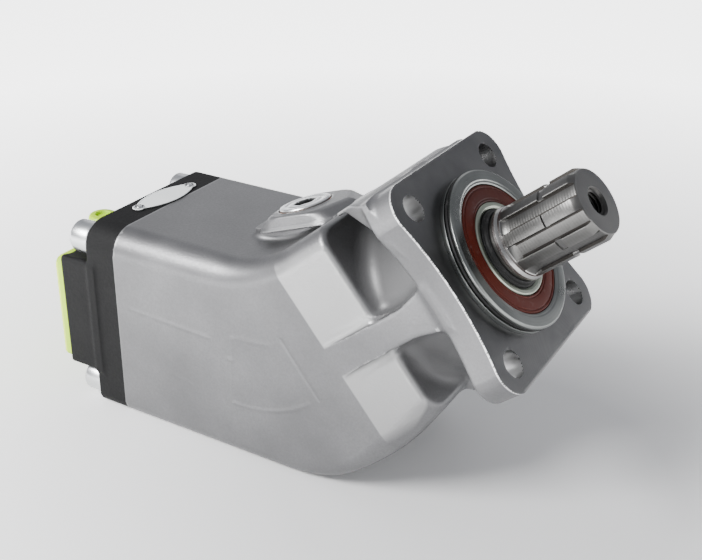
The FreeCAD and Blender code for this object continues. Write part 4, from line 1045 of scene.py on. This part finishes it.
def make_nameplate():
    low, high = node_box("nameplate")
    centre = at((low[0] + high[0]) / 2, (low[1] + high[1]) / 2, ROOF)
    size = (high[1] - low[1], high[0] - low[0])
    lean = math.radians(-4.0)

    def leaning(outline):
        return [(x * math.cos(lean) - y * math.sin(lean), x * math.sin(lean) + y * math.cos(lean))
                for x, y in outline]
    layers = [(leaning(plate_outline(*size, 3.4, inset)), height) for inset, height in (
        (0.25, 0.0), (0.0, 0.15), (0.0, 0.72), (0.12, 0.92), (0.35, 1.0), (0.95, 1.0),
        (1.05, 0.9), (1.15, 0.86), (1.5, 0.86))]
    mesh = layered_mesh("nameplate_sheet", layers)
    # Painted shadow on the plate's side walls
    for face in mesh.polygons:
        if abs(face.normal.z) < 0.3:
            face.material_index = 1
    add_piece("nameplate_sheet", mesh, "casing", [PLATE, PLATE_EDGE_SHADOW], centre,
              ["nameplate"], 50)
    rows = [(0, -4.9), (0.95, -4.9), (0.95, 0.9), (2.75, 0.9), (2.8, 1.1), (2.6, 1.32),
            (2.25, 1.4), (2.1, 1.25), (1.65, 1.25), (1.5, 1.5), (0.9, 1.7), (0, 1.78)]
    for number, (x, y) in enumerate(leaning([(0, -20.0), (0, 20.0)]), 1):
        name = "plate_rivet_%d" % number
        mesh = turned_mesh(name, rows, 48, closed=False)
        # Painted shadow in the rivet head's ring groove and on the rim of its head
        paint_second(mesh, lambda reach, height: 1.6 < reach < 2.2 or reach > 2.74)
        add_piece(name, mesh, "casing", [RIVET, PLATE_EDGE_SHADOW],
                  centre @ at(x, y, 0),
                  ["nameplate_rivets"] if number == 1 else (), 50)


COVER_LOW, COVER_HIGH = node_box("port_cover")
COVER_HALF_Y = COVER_HIGH[1]
COVER_Z, COVER_HALF_Z = (COVER_HIGH[2] + COVER_LOW[2]) / 2, (COVER_HIGH[2] - COVER_LOW[2]) / 2


def cover_field(x, y, z):
    """Moulded cover over both ports: rounded sheet, raised rim, ring over each port and plugs."""
    out = REAR - x
    outline = corner(np.abs(y) - COVER_HALF_Y, np.abs(z - COVER_Z) - COVER_HALF_Z, 0, 5.0)
    sheet = np.maximum(corner(outline, out - COVER_THICK, 0, 0.9), -out)
    tray = np.maximum(outline + 3.2, COVER_THICK - 0.8 - out)
    shape = carve(sheet, -tray, 0.6)
    for bore, place in PORTS:
        radius = bore + 1.1
        ring = np.hypot(y - place, z - CROSS_Z)
        boss = corner(np.abs(ring - radius + 1.2) - 1.0, out - COVER_THICK + 0.1, 0, 0.5)
        boss = np.maximum(boss, 1.0 - out)
        shape = blend(shape, boss, 0.8)
        cup = corner(ring - radius, -1.9 - out, 0, 0.7)
        shape = np.minimum(shape, np.maximum(cup, out - 0.5))
    return shape


def make_caps():
    mesh = field_mesh("port_cover_shell", cover_field, COVER_LOW, COVER_HIGH, 0.5)
    x, y, z = face_facts(mesh)[0].T
    # Painted highlight: the rear half of the cover's outer rim is painted a lighter lime
    outer = (np.abs(y) > COVER_HALF_Y - 0.5) | (np.abs(z - COVER_Z) > COVER_HALF_Z - 0.6)
    cover_edge_highlight = outer & (x < REAR - 0.62 * COVER_THICK)
    mesh.polygons.foreach_set("material_index", cover_edge_highlight.astype(np.int32))
    add_piece("port_cover_shell", mesh, "port_cover", [LIME, LIME_HIGHLIGHT],
              replaces=["port_cover"], sharp=40)

    def gripped(angles):
        return 7.85 + 0.22 * np.cos(angles * 24)

    rows = [(0, -7.9), (5.4, -7.9), (6.3, -7.0), (6.3, 0.0), (7.9, 0.0), (8.05, 0.25),
            (8.05, 1.4), (7.8, 1.7), (gripped, 2.2), (gripped, 13.2), (7.9, 13.7),
            (7.7, 14.6), (7.1, 15.5), (6.3, 15.9), (4.2, 15.9), (3.9, 15.4), (3.9, 14.4), (0, 14.2)]
    mesh = turned_mesh("gauge_plug_cap", rows, 144, closed=False)
    add_piece("gauge_plug_cap", mesh, "gauge_port_plug", [LIME],
              at(GAUGE_X, GAUGE_Y, BAND_TOP), ["gauge_port_plug"])


# ---------- floor, lights, camera

def make_stage():
    material, tree, shader, place = new_material("pale_floor", 0.0)
    # The floor glows, weakly near the pump and strongly far off: a painted glow that whitens the floor, with a
    # painted shadow round the pump
    distance = node(tree, "VectorMath", {0: place}, operation="LENGTH").outputs["Value"]
    near, far, dim, bright = 0.16, 0.80, 0.06, 3.8
    fill(tree, shader, {
        "Base Color": mix_colour(tree, noise(tree, place, 3, 3), grey(0.80), grey(0.83)),
        "Roughness": 0.75,
        "Emission Color": (1.0, 1.0, 1.0, 1.0),
        "Emission Strength": stretch(tree, distance, near, far, dim, bright)})
    half = 6.0
    ground = BELLY * MM
    mesh = bpy.data.meshes.new("floor")
    mesh.from_pydata([(-half, -half, ground), (half, -half, ground), (half, half, ground),
                      (-half, half, ground)], [], [(0, 1, 2, 3)])
    mesh.materials.append(material)
    new_object("floor", mesh)


def area_light(name, direction, distance, width, height, power, target=(-0.08, 0, -0.05)):
    """A soft box that faces the pump from a direction."""
    light = bpy.data.lights.new(name, "AREA")
    light.shape = "RECTANGLE"
    light.size, light.size_y = width, height
    light.energy = power
    item = new_object(name, light)
    item.location = Vector(target) + Vector(direction).normalized() * distance
    item.rotation_euler = (Vector(target) - item.location).to_track_quat("-Z", "Y").to_euler()


def make_lights():
    world = bpy.data.worlds.new("studio")
    bpy.context.scene.world = world
    world.use_nodes = True
    fill(world.node_tree, world.node_tree.nodes["Background"],
         {"Color": (0.92, 0.94, 1.0, 1), "Strength": 0.50})
    for light in (("key_above_front", (-0.48, -0.72, 0.66), 1.1, 0.50, 0.30, 22),
                  ("low_front", (-0.15, -1.0, 0.02), 0.75, 0.45, 0.16, 1.2),
                  ("right_fill", (1.0, -0.35, 0.25), 1.3, 0.4, 0.4, 2.0),
                  ("back_left_top", (-0.45, 0.80, 0.50), 1.2, 0.9, 0.6, 1.3)):
        area_light(*light)


def make_camera():
    """A camera at the photograph's angle, fitted to the flange, pilot and shaft."""
    azimuth, elevation, roll = math.radians(29.31), math.radians(26.53), math.radians(1.20)
    away = Vector((-math.sin(azimuth) * math.cos(elevation), math.cos(azimuth) * math.cos(elevation),
                   -math.sin(elevation)))
    level = Vector((math.cos(azimuth), math.sin(azimuth), 0))
    upright = level.cross(away)
    right = level * math.cos(roll) + upright * math.sin(roll)
    up = upright * math.cos(roll) - level * math.sin(roll)
    data = bpy.data.cameras.new("camera")
    data.sensor_width = 36.0
    data.lens = 53.725
    data.clip_start, data.clip_end = 0.02, 30
    item = new_object("camera", data)
    axes = Matrix((right, up, -away)).transposed().to_4x4()
    item.matrix_world = Matrix.Translation((0.15505, -0.41563, 0.20346)) @ axes
    bpy.context.scene.camera = item


finish_cad_nodes()
make_housing()
make_end_cap()
make_seals()
make_shaft()
make_screws()
make_drain_plug()
make_nameplate()
make_caps()
make_stage()
make_lights()
make_camera()

bpy.context.view_layer.update()
